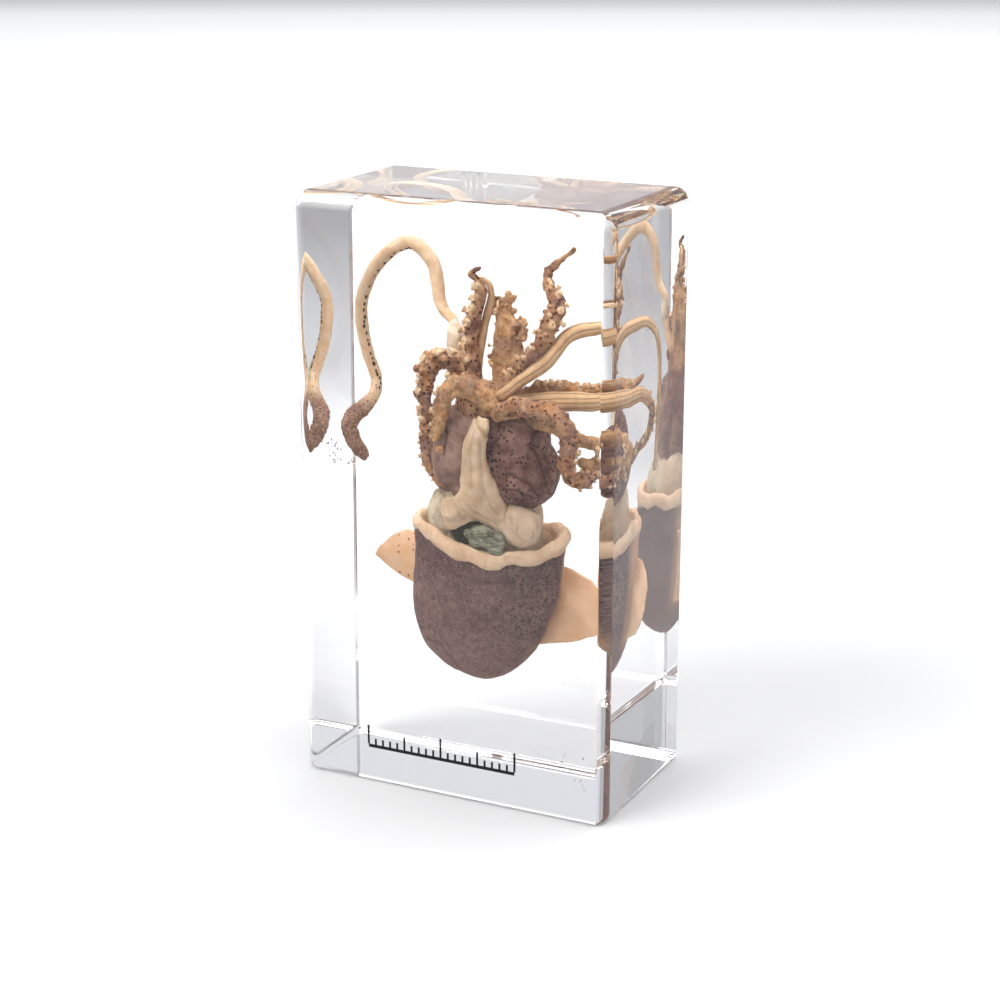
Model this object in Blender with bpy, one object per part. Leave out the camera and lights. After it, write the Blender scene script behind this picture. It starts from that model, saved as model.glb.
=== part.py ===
"""A small clear cast block with a whole cuttlefish sealed inside it.

The block is parted on one upright plane into a front and a back half around a pocket, and the
animal is one solid in that pocket. All tables are in millimetres, and the scene is in metres.
The origin is under the middle of the block, +Z is up and the block's wide front looks along -Y.
"""
import math

import bmesh
import bpy
from mathutils import Matrix, Vector

MM = 0.001

# The block
BLOCK_WIDTH = 41.0
BLOCK_DEPTH = 24.0
BLOCK_HEIGHT = 73.0
UPPER_EDGE_RADIUS = 2.0
FOOT_EDGE_RADIUS = 1.0
EDGE_STEPS = 3
PARTING_Y = 1.6
PARTING_GAP = 0.3

# The pocket is the animal grown by this much
POCKET_GROWTH = 0.75
POCKET_VOXEL = 0.55
POCKET_KEEP = 0.042

# The animal's surface is drawn at this grain, then thinned to this share of its faces
SKIN_VOXEL = 0.24
SKIN_KEEP = 0.036
SMOOTH_STEPS = 2
SMOOTH_FACTOR = 0.5

# The mantle is a cup. Each row is height, middle x, middle y, half width, half depth
MANTLE_ROWS = (
    (12.9, 0.3, 1.9, 0.9, 0.7),
    (13.1, 0.2, 1.9, 2.0, 1.6),
    (13.8, 0.1, 2.0, 3.9, 3.1),
    (15.2, -0.1, 2.3, 6.0, 4.6),
    (17.0, -0.2, 2.5, 7.5, 5.6),
    (20.0, 0.0, 2.6, 8.8, 6.3),
    (24.0, 0.6, 2.3, 9.6, 6.8),
    (28.0, 1.1, 2.0, 9.9, 7.1),
    (32.2, 1.5, 1.8, 10.1, 7.1),
)
MANTLE_WALL = 1.3
CUP_FLOOR = 28.5
RIM_HEIGHT = 1.1
RIM_THICKNESS = 0.85
RIM_DIP = 2.5
RIM_TURN = 0.26
RIM_POINTS = 40

# Lofted soft forms, as rows of height, middle x, middle y, half width, half depth
COLLAR_ROWS = (
    (27.5, 1.3, 1.8, 6.6, 4.9),
    (31.0, 1.3, 1.6, 7.2, 5.2),
    (34.0, 1.2, 1.5, 7.4, 5.3),
    (36.0, 1.5, 1.1, 6.9, 5.1),
    (38.5, 2.0, 0.5, 6.4, 4.9),
    (41.5, 2.3, 0.0, 6.2, 4.8),
    (45.0, 2.2, -0.4, 5.4, 4.4),
    (48.0, 2.0, -0.7, 3.9, 3.5),
)
FUNNEL_ROWS = (
    (33.9, 0.9, -2.6, 4.7, 1.5),
    (35.4, 1.3, -3.5, 4.4, 1.8),
    (37.0, 1.9, -4.3, 3.4, 1.7),
    (38.8, 2.1, -4.9, 2.5, 1.5),
    (41.0, 1.9, -5.4, 1.9, 1.3),
    (43.7, 1.9, -5.9, 1.5, 1.1),
    (46.0, 2.5, -6.2, 1.3, 0.8),
    (47.4, 3.0, -6.4, 0.9, 0.5),
)

# Rounded masses, as middle x, y, z and half sizes along x, y, z
HEAD_MASSES = (
    (5.6, -0.4, 44.4, 4.3, 4.6, 4.2),
    (6.7, -0.4, 40.7, 4.5, 5.0, 4.5),
    (-1.6, -0.6, 42.2, 3.7, 4.6, 5.6),
    (-3.1, -0.9, 40.6, 2.6, 3.8, 3.8),
    (2.0, -0.8, 48.0, 4.2, 3.7, 3.0),
)
COLLAR_BULGES = (
    (7.2, -2.6, 33.9, 2.5, 2.3, 2.7),
    (-3.7, -1.6, 34.0, 2.0, 2.4, 3.2),
)
VISCERA_LUMPS = (
    (1.0, -3.7, 32.2, 1.1, 0.9, 1.0),
    (2.7, -4.0, 31.8, 1.2, 0.9, 1.1),
    (4.4, -3.9, 32.4, 1.2, 0.9, 1.2),
    (3.3, -3.8, 33.6, 1.1, 0.9, 0.9),
    (5.6, -3.4, 31.9, 0.9, 0.9, 0.9),
)
SHEATH = (-3.0, 1.4, 55.2, 1.1, 1.05, 2.5)

# Fins: each is an outline of x, y, z corners, its root first
LEFT_FIN = (
    (-6.8, 5.0, 30.2), (-11.2, 5.8, 29.8), (-13.4, 6.1, 28.7), (-15.2, 6.0, 27.2),
    (-15.9, 5.9, 25.7), (-14.4, 5.8, 24.6), (-11.4, 5.6, 23.4), (-6.6, 4.6, 21.4),
)
RIGHT_FIN = (
    (7.0, 5.2, 28.8), (11.4, 5.6, 27.8), (14.3, 4.6, 27.1), (16.4, 3.6, 25.2),
    (16.9, 2.4, 22.6), (15.6, 2.0, 20.4), (12.0, 3.4, 18.9), (6.2, 4.4, 17.6),
)
FIN_ROOT_THICKNESS = 1.6
FIN_EDGE_THICKNESS = 0.7
FIN_ROOT_CORNERS = (0, -1)

# Arms and tentacles: each is a route of x, y, z and radius, from the crown to the tip
LONG_TENTACLE = (
    (-0.8, 0.4, 50.2, 0.9), (-2.2, 1.1, 52.4, 0.8), (-2.8, 1.5, 56.0, 0.6), (-3.4, 1.8, 57.5, 0.62),
    (-4.6, 2.0, 58.5, 0.72),
    (-5.3, 2.2, 60.0, 0.82), (-5.9, 2.5, 63.0, 0.87), (-7.2, 3.0, 65.0, 0.88), (-9.6, 3.8, 66.0, 0.86),
    (-12.6, 5.0, 64.9, 0.86), (-15.7, 6.8, 62.1, 0.86), (-17.8, 8.0, 58.3, 0.84), (-18.1, 8.2, 55.8, 0.84),
    (-17.8, 8.3, 53.4, 0.84), (-17.2, 8.4, 51.1, 0.82), (-16.3, 8.4, 48.7, 0.8), (-16.0, 8.0, 47.4, 0.8),
    (-16.3, 7.2, 45.9, 0.84), (-17.2, 6.0, 44.6, 0.95), (-18.2, 4.8, 43.6, 1.1), (-18.4, 3.7, 42.2, 1.1),
    (-17.6, 3.6, 40.4, 1.0), (-16.4, 3.9, 38.9, 0.75),
)
RIGHT_TENTACLE = (
    (4.0, -2.6, 49.2, 0.8), (5.4, -4.0, 50.4, 0.75), (7.0, -4.1, 51.7, 0.75), (8.7, -4.0, 53.0, 0.8),
    (10.5, -3.8, 54.4, 0.85), (11.6, -3.3, 56.0, 0.85), (12.5, -2.4, 57.3, 0.86), (13.7, -1.5, 58.1, 0.88),
    (15.2, -0.4, 58.4, 0.82), (17.2, 1.4, 58.5, 0.68), (18.5, 3.2, 57.0, 0.58), (18.7, 4.3, 54.0, 0.5),
    (18.5, 4.5, 49.0, 0.45), (18.2, 4.3, 44.0, 0.4), (17.8, 4.2, 40.0, 0.35),
)
LEFT_UPRIGHT_ARM = (
    (-0.2, 0.3, 48.4, 1.2), (-0.1, 0.3, 50.6, 1.2), (-0.2, 0.0, 52.9, 1.2), (-0.3, -0.2, 55.3, 1.1),
    (-0.1, -0.3, 58.1, 1.1), (0.8, -0.5, 60.4, 0.95), (1.0, -0.6, 62.2, 0.75), (0.6, -0.7, 63.0, 0.5),
    (-0.1, -0.8, 63.4, 0.36), (0.3, -0.9, 63.9, 0.3), (1.2, -1.0, 64.4, 0.26),
)
SMOOTH_STRAND = (
    (0.6, 1.0, 48.8, 0.6), (0.3, 1.0, 50.3, 0.6), (0.2, 0.9, 51.9, 0.58), (0.5, 0.8, 54.3, 0.55),
    (1.1, 0.7, 57.1, 0.52), (1.7, 0.6, 59.3, 0.5), (2.1, 0.5, 61.1, 0.45), (1.9, 0.3, 62.3, 0.4),
    (1.2, 0.0, 62.9, 0.36), (0.7, -0.4, 62.9, 0.32),
)
BROAD_ARM = (
    (3.6, 1.2, 48.2, 1.7), (3.8, 1.2, 50.7, 1.9), (3.9, 1.4, 52.7, 2.2), (4.0, 1.6, 55.0, 2.35),
    (4.2, 1.7, 56.9, 2.2), (4.0, 1.8, 58.4, 1.7), (3.6, 1.8, 59.8, 1.1), (3.5, 1.8, 60.4, 0.8),
)
RIGHT_UPRIGHT_ARM = (
    (3.2, -1.3, 49.4, 1.2), (4.9, -1.3, 51.1, 1.2), (7.1, -2.2, 53.5, 1.25), (9.2, -3.0, 55.2, 1.3),
    (10.1, -3.4, 57.2, 1.3), (10.9, -3.4, 59.0, 1.28), (11.5, -2.8, 60.6, 1.2), (10.9, -1.9, 62.0, 1.0),
    (9.8, -1.2, 63.0, 0.78), (9.8, -0.9, 64.4, 0.6), (10.6, -0.8, 65.5, 0.45), (11.7, -0.8, 66.4, 0.34),
    (13.0, -0.8, 67.5, 0.26),
)
LEFT_FRONT_ARM = (
    (4.6, -3.6, 47.7, 1.2), (3.2, -4.4, 49.1, 1.4), (1.5, -5.0, 50.3, 1.5), (-0.4, -5.4, 50.7, 1.45),
    (-1.8, -5.6, 49.9, 1.3), (-2.4, -5.7, 48.5, 1.2), (-2.6, -5.6, 46.9, 1.1), (-3.2, -5.4, 45.2, 0.85),
    (-3.6, -5.3, 43.7, 0.5),
)
LEFT_OUTER_ARM = (
    (0.6, -0.8, 50.0, 1.1), (-1.1, -0.8, 51.6, 1.1), (-2.8, -1.6, 52.8, 1.15), (-4.4, -2.3, 52.9, 1.1),
    (-5.4, -2.7, 51.6, 1.05), (-5.6, -2.9, 49.7, 1.0), (-5.5, -3.0, 47.6, 1.0), (-5.2, -3.0, 45.6, 1.0),
    (-5.3, -3.0, 43.7, 1.0), (-5.4, -3.0, 41.7, 1.0), (-4.8, -3.0, 39.7, 0.9), (-3.4, -3.0, 38.1, 0.7),
)
RIGHT_FRONT_ARM = (
    (4.3, -4.4, 47.8, 1.2), (6.1, -5.3, 48.6, 1.3), (8.3, -6.0, 49.2, 1.4), (10.9, -6.6, 49.1, 1.4),
    (13.2, -7.0, 48.3, 1.35), (14.4, -7.3, 46.7, 1.3), (14.3, -7.4, 44.8, 1.2), (14.1, -7.4, 43.0, 1.05),
    (14.8, -7.3, 41.6, 0.9), (16.2, -7.1, 41.3, 0.8), (17.6, -6.8, 42.2, 0.65),
)
RIGHT_THIN_ARM = (
    (5.0, -0.8, 49.6, 0.8), (7.2, -0.8, 50.1, 0.8), (9.3, -1.1, 50.8, 0.85), (11.0, -1.3, 51.1, 0.85),
    (13.2, -1.3, 51.3, 0.75), (15.4, -1.2, 51.4, 0.65), (17.6, 0.4, 52.3, 0.5),
)
RIGHT_LOOPED_ARM = (
    (4.4, -1.4, 48.4, 1.1), (6.7, -1.6, 48.8, 1.1), (10.1, -2.3, 49.5, 1.2), (13.1, -2.4, 49.9, 1.2),
    (15.9, -2.0, 50.1, 1.1), (17.6, -0.2, 50.2, 0.95), (18.2, 1.8, 49.0, 0.85), (18.0, 3.0, 46.8, 0.8),
    (17.6, 1.6, 44.6, 0.75), (16.8, -1.0, 43.4, 0.7), (15.8, -2.4, 42.0, 0.6), (14.9, -3.0, 41.0, 0.5),
    (15.8, -3.2, 40.1, 0.4),
)
RIGHT_INNER_ARM = (
    (8.0, -2.4, 47.4, 0.9), (11.6, -3.8, 46.7, 0.9), (13.7, -4.3, 46.1, 0.9), (15.6, -4.3, 45.7, 0.9),
    (17.0, -4.2, 45.6, 0.85), (18.0, -3.9, 44.8, 0.8), (17.7, -3.9, 43.5, 0.9), (16.4, -4.3, 42.9, 0.95),
    (15.2, -4.8, 43.2, 0.7),
)
BROAD_ARM_FLATNESS = 0.5
CURVE_STEPS = 6
TUBE_SIDES = 14
LOFT_SIDES = 40
LOFT_STEPS = 4

# Suckers: route, side that they stand on, first and last share of the route, count, radius
SUCKER_RUNS = (
    (LEFT_UPRIGHT_ARM, (-1.0, -0.5, 0.0), 0.18, 0.72, 9, 0.55),
    (RIGHT_UPRIGHT_ARM, (-0.6, -0.4, 0.5), 0.15, 0.42, 5, 0.42),
    (RIGHT_UPRIGHT_ARM, (1.0, -0.4, 0.0), 0.45, 0.75, 5, 0.45),
    (LEFT_OUTER_ARM, (-1.0, -0.3, 0.4), 0.18, 0.95, 13, 0.5),
    (LEFT_FRONT_ARM, (-0.8, 0.0, 0.6), 0.42, 0.98, 6, 0.45),
    (RIGHT_FRONT_ARM, (0.6, 0.5, -0.6), 0.5, 0.98, 6, 0.42),
    (RIGHT_THIN_ARM, (0.0, 0.0, 1.0), 0.15, 0.75, 7, 0.32),
    (RIGHT_LOOPED_ARM, (0.4, 0.6, 0.6), 0.45, 0.98, 10, 0.45),
    (RIGHT_INNER_ARM, (-0.5, -0.6, -0.5), 0.5, 0.95, 5, 0.4),
    (BROAD_ARM, (1.0, 0.0, 0.3), 0.5, 0.85, 8, 0.55),
    (BROAD_ARM, (-1.0, -0.2, 0.8), 0.8, 0.98, 3, 0.45),
)
SUCKER_SPREAD = 0.55
SUCKER_STAND = 0.35
BALL_RINGS = 6
BALL_SIDES = 10


def clear_scene():
    for scene_object in list(bpy.data.objects):
        bpy.data.objects.remove(scene_object, do_unlink=True)


def plain_material(name, colour, roughness, transmission=0.0):
    material = bpy.data.materials.new(name)
    material.use_nodes = True
    shader = material.node_tree.nodes["Principled BSDF"]
    shader.inputs["Base Color"].default_value = (*colour, 1.0)
    shader.inputs["Roughness"].default_value = roughness
    shader.inputs["Metallic"].default_value = 0.0
    shader.inputs["Transmission Weight"].default_value = transmission
    shader.inputs["IOR"].default_value = 1.49
    return material


def add_object(name, bm, material=None):
    mesh = bpy.data.meshes.new(name)
    bmesh.ops.recalc_face_normals(bm, faces=bm.faces[:])
    bm.to_mesh(mesh)
    bm.free()
    made = bpy.data.objects.new(name, mesh)
    if material is not None:
        mesh.materials.append(material)
    bpy.context.scene.collection.objects.link(made)
    return made


def smooth_rows(table, steps):
    """Rows on a smooth curve through the table's own rows, with several steps between each two."""
    rows = [Vector(row) for row in table]
    rows = [2 * rows[0] - rows[1]] + rows + [2 * rows[-1] - rows[-2]]
    curve = []
    for a, b, c, d in zip(rows, rows[1:], rows[2:], rows[3:]):
        for k in range(steps):
            t = k / steps
            curve.append(0.5 * (2 * b + (c - a) * t + (2 * a - 5 * b + 4 * c - d) * t * t
                                + (3 * b - a - 3 * c + d) * t * t * t))
    curve.append(rows[-2])
    return curve


def smooth_route(route):
    """Points and radii along an arm."""
    return [(row.to_3d(), row[3]) for row in smooth_rows(route, CURVE_STEPS)]


def close_rings(bm, rings):
    """Skins a stack of equal rings of points and closes both ends."""
    vertex_rings = [[bm.verts.new(point * MM) for point in ring] for ring in rings]
    count = len(vertex_rings[0])
    for lower, upper in zip(vertex_rings, vertex_rings[1:]):
        for i in range(count):
            j = (i + 1) % count
            bm.faces.new((lower[i], lower[j], upper[j], upper[i]))
    bm.faces.new(list(reversed(vertex_rings[0])))
    bm.faces.new(vertex_rings[-1])


def add_tube(bm, route, grow=0.0, flatness=1.0):
    """A round or flattened tube along a route, with rounded ends."""
    curve = smooth_route(route)
    side = Vector((0.0, 1.0, 0.0))
    rings = []
    for i, (point, radius) in enumerate(curve):
        before = curve[max(i - 1, 0)][0]
        after = curve[min(i + 1, len(curve) - 1)][0]
        along = (after - before).normalized()
        side = (side - along * side.dot(along)).normalized()
        across = along.cross(side)
        radius += grow
        flat = (radius - grow) * flatness + grow
        ring = [point + across * math.cos(angle) * radius + side * math.sin(angle) * flat
                for angle in (2 * math.pi * k / TUBE_SIDES for k in range(TUBE_SIDES))]
        if i == 0:
            rings.append([point + (corner - point) * 0.6 - along * radius * 0.6 for corner in ring])
        rings.append(ring)
        if i == len(curve) - 1:
            rings.append([point + (corner - point) * 0.6 + along * radius * 0.6 for corner in ring])
    close_rings(bm, rings)


def add_mass(bm, mass, grow=0.0, rings=12, sides=20):
    """An egg-shaped mass."""
    x, y, z, half_x, half_y, half_z = mass
    place = Matrix.Translation(Vector((x, y, z)) * MM)
    scale = Matrix.Diagonal(((half_x + grow) * MM, (half_y + grow) * MM, (half_z + grow) * MM, 1.0))
    bmesh.ops.create_uvsphere(bm, u_segments=sides, v_segments=rings, radius=1.0, matrix=place @ scale)


def oval(height, middle_x, middle_y, half_width, half_depth, lift=None):
    ring = []
    for k in range(LOFT_SIDES):
        angle = 2 * math.pi * k / LOFT_SIDES
        rise = lift(angle) if lift else 0.0
        ring.append(Vector((middle_x + half_width * math.cos(angle),
                            middle_y + half_depth * math.sin(angle), height + rise)))
    return ring


def add_loft(bm, rows, grow=0.0):
    rings = [oval(height, x, y, a + grow, b + grow) for height, x, y, a, b in smooth_rows(rows, LOFT_STEPS)]
    low = [point - Vector((0.0, 0.0, grow)) for point in rings[0]]
    high = [point + Vector((0.0, 0.0, grow)) for point in rings[-1]]
    close_rings(bm, [low] + rings + [high] if grow else rings)


def rim_lift(angle):
    """The rim dips right of the middle of the front."""
    return -RIM_DIP * max(0.0, -math.sin(angle - RIM_TURN)) ** 2


def add_mantle(bm, grow=0.0):
    """The cup: up the outside, over the rim and down the inside to its floor."""
    top, x, y, a, b = MANTLE_ROWS[-1]
    rings = [oval(height - grow, cx, cy, cup_a + grow, cup_b + grow)
             for height, cx, cy, cup_a, cup_b in smooth_rows(MANTLE_ROWS[:-1], LOFT_STEPS)]
    rings.append(oval(top, x, y, a + grow, b + grow, rim_lift))
    if grow:
        close_rings(bm, rings)
        return
    rings.append(oval(top, x, y, a - MANTLE_WALL, b - MANTLE_WALL, rim_lift))
    rings.append(oval(CUP_FLOOR, x, y, a - MANTLE_WALL, b - MANTLE_WALL))
    close_rings(bm, rings)


def add_rim(bm, grow=0.0):
    """The thick rolled lip around the cup's mouth."""
    height, x, y, a, b = MANTLE_ROWS[-1]
    rings = []
    for k in range(RIM_POINTS):
        angle = 2 * math.pi * k / RIM_POINTS
        middle = Vector((x + (a - 0.4) * math.cos(angle), y + (b - 0.4) * math.sin(angle),
                         height + rim_lift(angle)))
        outward = Vector((math.cos(angle) / a, math.sin(angle) / b, 0.0)).normalized()
        thickness = outward * (RIM_THICKNESS + grow)
        upward = Vector((0.0, 0.0, RIM_HEIGHT + grow))
        rings.append([middle + thickness * math.cos(turn) + upward * math.sin(turn)
                      for turn in (2 * math.pi * n / TUBE_SIDES for n in range(TUBE_SIDES))])
    vertices = [[bm.verts.new(point * MM) for point in ring] for ring in rings]
    for i in range(RIM_POINTS):
        for n in range(TUBE_SIDES):
            i2, n2 = (i + 1) % RIM_POINTS, (n + 1) % TUBE_SIDES
            bm.faces.new((vertices[i][n], vertices[i2][n], vertices[i2][n2], vertices[i][n2]))


def add_fin(bm, outline, grow=0.0):
    """A flap that is thickest at its root and thins out to its edge."""
    corners = [Vector(corner) for corner in outline]
    middle = sum(corners, Vector()) / len(corners)
    halves = [FIN_EDGE_THICKNESS / 2 + grow] * len(corners)
    for k in FIN_ROOT_CORNERS:
        halves[k] = FIN_ROOT_THICKNESS / 2 + grow
    spread = [corner + (corner - middle).normalized() * grow for corner in corners]
    sides = []
    for sign in (-1.0, 1.0):
        ring = [bm.verts.new((corner + Vector((0.0, sign * half, 0.0))) * MM)
                for corner, half in zip(spread, halves)]
        centre = bm.verts.new((middle + Vector((0.0, sign * (FIN_ROOT_THICKNESS / 2 + grow), 0.0))) * MM)
        sides.append((ring, centre))
    (front, front_centre), (back, back_centre) = sides
    for i in range(len(front)):
        j = (i + 1) % len(front)
        bm.faces.new((front[i], front[j], front_centre))
        bm.faces.new((back[j], back[i], back_centre))
        bm.faces.new((front[j], front[i], back[i], back[j]))


def add_suckers(bm, run, grow=0.0):
    """Round suckers in two staggered rows along one side of an arm."""
    route, side, first, last, count, size = run
    curve = smooth_route(route)
    for k in range(count):
        share = first + (last - first) * k / (count - 1)
        i = min(int(share * (len(curve) - 1)), len(curve) - 2)
        point, radius = curve[i]
        along = (curve[i + 1][0] - point).normalized()
        outward = Vector(side)
        outward = (outward - along * outward.dot(along)).normalized()
        lean = SUCKER_SPREAD if k % 2 else -SUCKER_SPREAD
        outward = (outward + along.cross(outward) * lean).normalized()
        shrink = size * (1.0 - 0.35 * k / count)
        middle = point + outward * (radius + shrink * SUCKER_STAND)
        add_mass(bm, (*middle, shrink, shrink, shrink), grow, BALL_RINGS, BALL_SIDES)


def animal_shapes(grow=0.0):
    """Every form of the animal in one mesh, still overlapping."""
    bm = bmesh.new()
    add_mantle(bm, grow)
    add_rim(bm, grow)
    add_loft(bm, COLLAR_ROWS, grow)
    add_loft(bm, FUNNEL_ROWS, grow)
    for mass in (*HEAD_MASSES, *COLLAR_BULGES, *VISCERA_LUMPS, SHEATH):
        add_mass(bm, mass, grow)
    for outline in (LEFT_FIN, RIGHT_FIN):
        add_fin(bm, outline, grow)
    for route in (LONG_TENTACLE, RIGHT_TENTACLE, LEFT_UPRIGHT_ARM, SMOOTH_STRAND, RIGHT_UPRIGHT_ARM,
                  LEFT_FRONT_ARM, LEFT_OUTER_ARM, RIGHT_FRONT_ARM, RIGHT_THIN_ARM, RIGHT_LOOPED_ARM,
                  RIGHT_INNER_ARM):
        add_tube(bm, route, grow)
    add_tube(bm, BROAD_ARM, grow, BROAD_ARM_FLATNESS)
    for run in SUCKER_RUNS:
        add_suckers(bm, run, grow)
    return bm


def fuse(made, voxel, keep):
    """Grows the overlapping forms together into one skin and thins its faces."""
    remesh = made.modifiers.new("fuse", "REMESH")
    remesh.mode = "VOXEL"
    remesh.voxel_size = voxel * MM
    smooth = made.modifiers.new("soften", "SMOOTH")
    smooth.factor = SMOOTH_FACTOR
    smooth.iterations = SMOOTH_STEPS
    thin = made.modifiers.new("thin", "DECIMATE")
    thin.ratio = keep
    thin.use_collapse_triangulate = True


def make_animal():
    skin = plain_material("skin", (0.42, 0.31, 0.29), 0.55)
    animal = add_object("cuttlefish", animal_shapes(), skin)
    fuse(animal, SKIN_VOXEL, SKIN_KEEP)
    return animal


def make_pocket():
    """The cutter that hollows both halves around the animal."""
    pocket = add_object("pocket_cutter", animal_shapes(POCKET_GROWTH))
    fuse(pocket, POCKET_VOXEL, POCKET_KEEP)
    pocket.hide_render = True
    pocket.display_type = "WIRE"
    return pocket


def rounded_block():
    """The whole block with rounded edges, tighter around its foot."""
    bm = bmesh.new()
    size = Matrix.Diagonal((BLOCK_WIDTH * MM, BLOCK_DEPTH * MM, BLOCK_HEIGHT * MM, 1.0))
    lift = Matrix.Translation((0.0, 0.0, BLOCK_HEIGHT * MM / 2))
    bmesh.ops.create_cube(bm, size=1.0, matrix=lift @ size)
    middle = BLOCK_HEIGHT * MM / 2
    upper = [edge for edge in bm.edges if max(v.co.z for v in edge.verts) > middle]
    bmesh.ops.bevel(bm, geom=upper, offset=UPPER_EDGE_RADIUS * MM, segments=EDGE_STEPS,
                    profile=0.5, affect="EDGES")
    foot = [edge for edge in bm.edges
            if all(v.co.z < FOOT_EDGE_RADIUS * MM / 2 for v in edge.verts) and len(edge.link_faces) == 2]
    bmesh.ops.bevel(bm, geom=foot, offset=FOOT_EDGE_RADIUS * MM, segments=2,
                    profile=0.5, affect="EDGES")
    return bm


def make_half(name, material, pocket, front):
    """One half of the block, cut flat at the parting plane and hollowed by the pocket."""
    bm = rounded_block()
    sign = -1.0 if front else 1.0
    cut = Vector((0.0, (PARTING_Y + sign * PARTING_GAP / 2) * MM, 0.0))
    geometry = bm.verts[:] + bm.edges[:] + bm.faces[:]
    result = bmesh.ops.bisect_plane(bm, geom=geometry, plane_co=cut, plane_no=(0.0, -sign, 0.0),
                                    clear_outer=True)
    rim = [item for item in result["geom_cut"] if isinstance(item, bmesh.types.BMEdge)]
    bmesh.ops.contextual_create(bm, geom=rim)
    half = add_object(name, bm, material)
    hollow = half.modifiers.new("pocket", "BOOLEAN")
    hollow.operation = "DIFFERENCE"
    hollow.object = pocket
    hollow.solver = "EXACT"
    return half


def build():
    clear_scene()
    clear = plain_material("clear_acrylic", (0.96, 0.97, 0.97), 0.03, transmission=1.0)
    make_animal()
    pocket = make_pocket()
    make_half("block_front", clear, pocket, front=True)
    make_half("block_back", clear, pocket, front=False)


build()
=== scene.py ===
"""The looks of the cuttlefish in its clear block. Tables are in millimetres, the scene in metres."""
import math
import random

import bmesh
import bpy
import numpy as np
from mathutils import Matrix, Vector, noise


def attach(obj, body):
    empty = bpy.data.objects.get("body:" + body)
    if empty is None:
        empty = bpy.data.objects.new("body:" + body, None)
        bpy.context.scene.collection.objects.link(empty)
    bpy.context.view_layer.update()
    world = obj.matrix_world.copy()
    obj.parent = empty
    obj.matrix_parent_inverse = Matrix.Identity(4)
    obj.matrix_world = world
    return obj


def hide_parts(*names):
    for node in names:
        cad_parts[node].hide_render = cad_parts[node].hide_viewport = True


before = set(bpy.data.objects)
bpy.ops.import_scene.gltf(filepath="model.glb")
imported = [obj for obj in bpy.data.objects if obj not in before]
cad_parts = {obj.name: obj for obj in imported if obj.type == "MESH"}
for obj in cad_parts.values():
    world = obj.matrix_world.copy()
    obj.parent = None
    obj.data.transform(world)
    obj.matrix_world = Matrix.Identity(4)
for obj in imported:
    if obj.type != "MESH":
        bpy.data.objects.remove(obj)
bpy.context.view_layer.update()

MM = 0.001

# Camera: place in the block's own millimetres, lens on a 36 mm sensor
CAMERA_PLACE = (117.95, -235.36, 114.13)
CAMERA_TARGET = (0.896, 0.445, 34.65)
CAMERA_LENS = 81.0

# The studio: greys, then lamps as name, place, size and power, in metres and watts
ROOM_GREY = (0.42, 0.43, 0.45)
SKY_GREY = (0.74, 0.75, 0.79)
HORIZON_GREY = (0.16, 0.16, 0.17)
WINDOW_WHITE = (1.25, 1.25, 1.28)
WINDOW_SIDE = (-0.44, 0.885, 0.154)
WINDOW_EDGE = (0.88, 0.97)
ROOM_TO_SKY = (-0.45, 0.2)
HORIZON_BAND = (0.12, 0.30)
FLOOR_WHITE = (0.68, 0.68, 0.683)
FLOOR_NEAR = (0.375, 0.375, 0.378)
FLOOR_GREY = (0.23, 0.23, 0.236)
FLOOR_DARK = (0.15, 0.15, 0.156)
WEDGE_TURN = (0.895, 0.445)
WEDGE_SLOPE = 0.222
FLOOR_REACH = 4.0
FLOOR_GAP = 0.00005
LAMP_TARGET = (0.0, 0.0, 0.03)
LAMPS = (
    ("top_box", (0.1, 0.15, 1.0), 1.1, 23.0),
    ("key_box", (-0.42, -0.64, 0.8), 0.6, 18.0),
)

# The block
BLOCK_WIDTH = 41.0
BLOCK_DEPTH = 24.0
BLOCK_HEIGHT = 73.0
UPPER_EDGE_RADIUS = 2.0
FOOT_EDGE_RADIUS = 0.9
FACE_INSET = 0.05
EDGE_STEPS = 10

# Upright edges: side along x, side along y, run on the wide face, run on the narrow face, roundness
UPRIGHT_EDGES = (
    (1.0, -1.0, 0.9, 2.2, 0.3),
    (1.0, 1.0, 1.1, 1.1, 1.0),
    (-1.0, 1.0, 0.6, 0.6, 1.0),
    (-1.0, -1.0, 2.0, 2.0, 1.0),
)
ACRYLIC_IOR = 1.49

# The mantle is a cup. Each row is height, middle x, middle y, half width, half depth
MANTLE_ROWS = (
    (12.9, 0.3, 1.9, 0.9, 0.7),
    (13.1, 0.2, 1.9, 2.0, 1.6),
    (13.8, 0.1, 2.0, 3.9, 3.1),
    (15.2, -0.1, 2.3, 6.0, 4.6),
    (17.0, -0.2, 2.5, 7.5, 5.6),
    (20.0, 0.0, 2.6, 8.8, 6.3),
    (24.0, 0.6, 2.3, 9.6, 6.8),
    (28.0, 1.1, 2.0, 9.9, 7.1),
    (32.2, 1.5, 1.8, 10.1, 7.1),
)
MANTLE_FOLDS = (
    (((-8.9, 29.5), (-6.5, 28.2), (-3.8, 27.4)), 0.22, 0.16),
    (((-8.8, 28.6), (-6.2, 27.5), (-4.0, 26.9)), 0.20, 0.14),
    (((-7.2, 18.6), (-5.4, 19.2), (-3.6, 18.4), (-2.4, 16.6)), 0.30, 0.18),
    (((-6.4, 17.2), (-4.2, 17.4), (-2.6, 15.6), (-1.9, 14.3)), 0.30, 0.16),
    (((-3.0, 27.8), (2.6, 26.6), (6.4, 27.2)), 0.5, 0.2),
)
MANTLE_WALL = 1.3
CUP_FLOOR = 28.5
RIM_HEIGHT = 1.05
RIM_THICKNESS = 0.75
ARM_SLIMNESS = 0.88
RIM_INSET = 0.4
RIM_STEPS = 8
RIM_DIP = 2.5
RIM_TURN = 0.26

# The opening under the funnel, where the collar gets painted shade: middle x, middle z, half width, half
# height
OPENING_SHADE = (1.3, 32.4, 3.6, 1.9)
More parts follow.
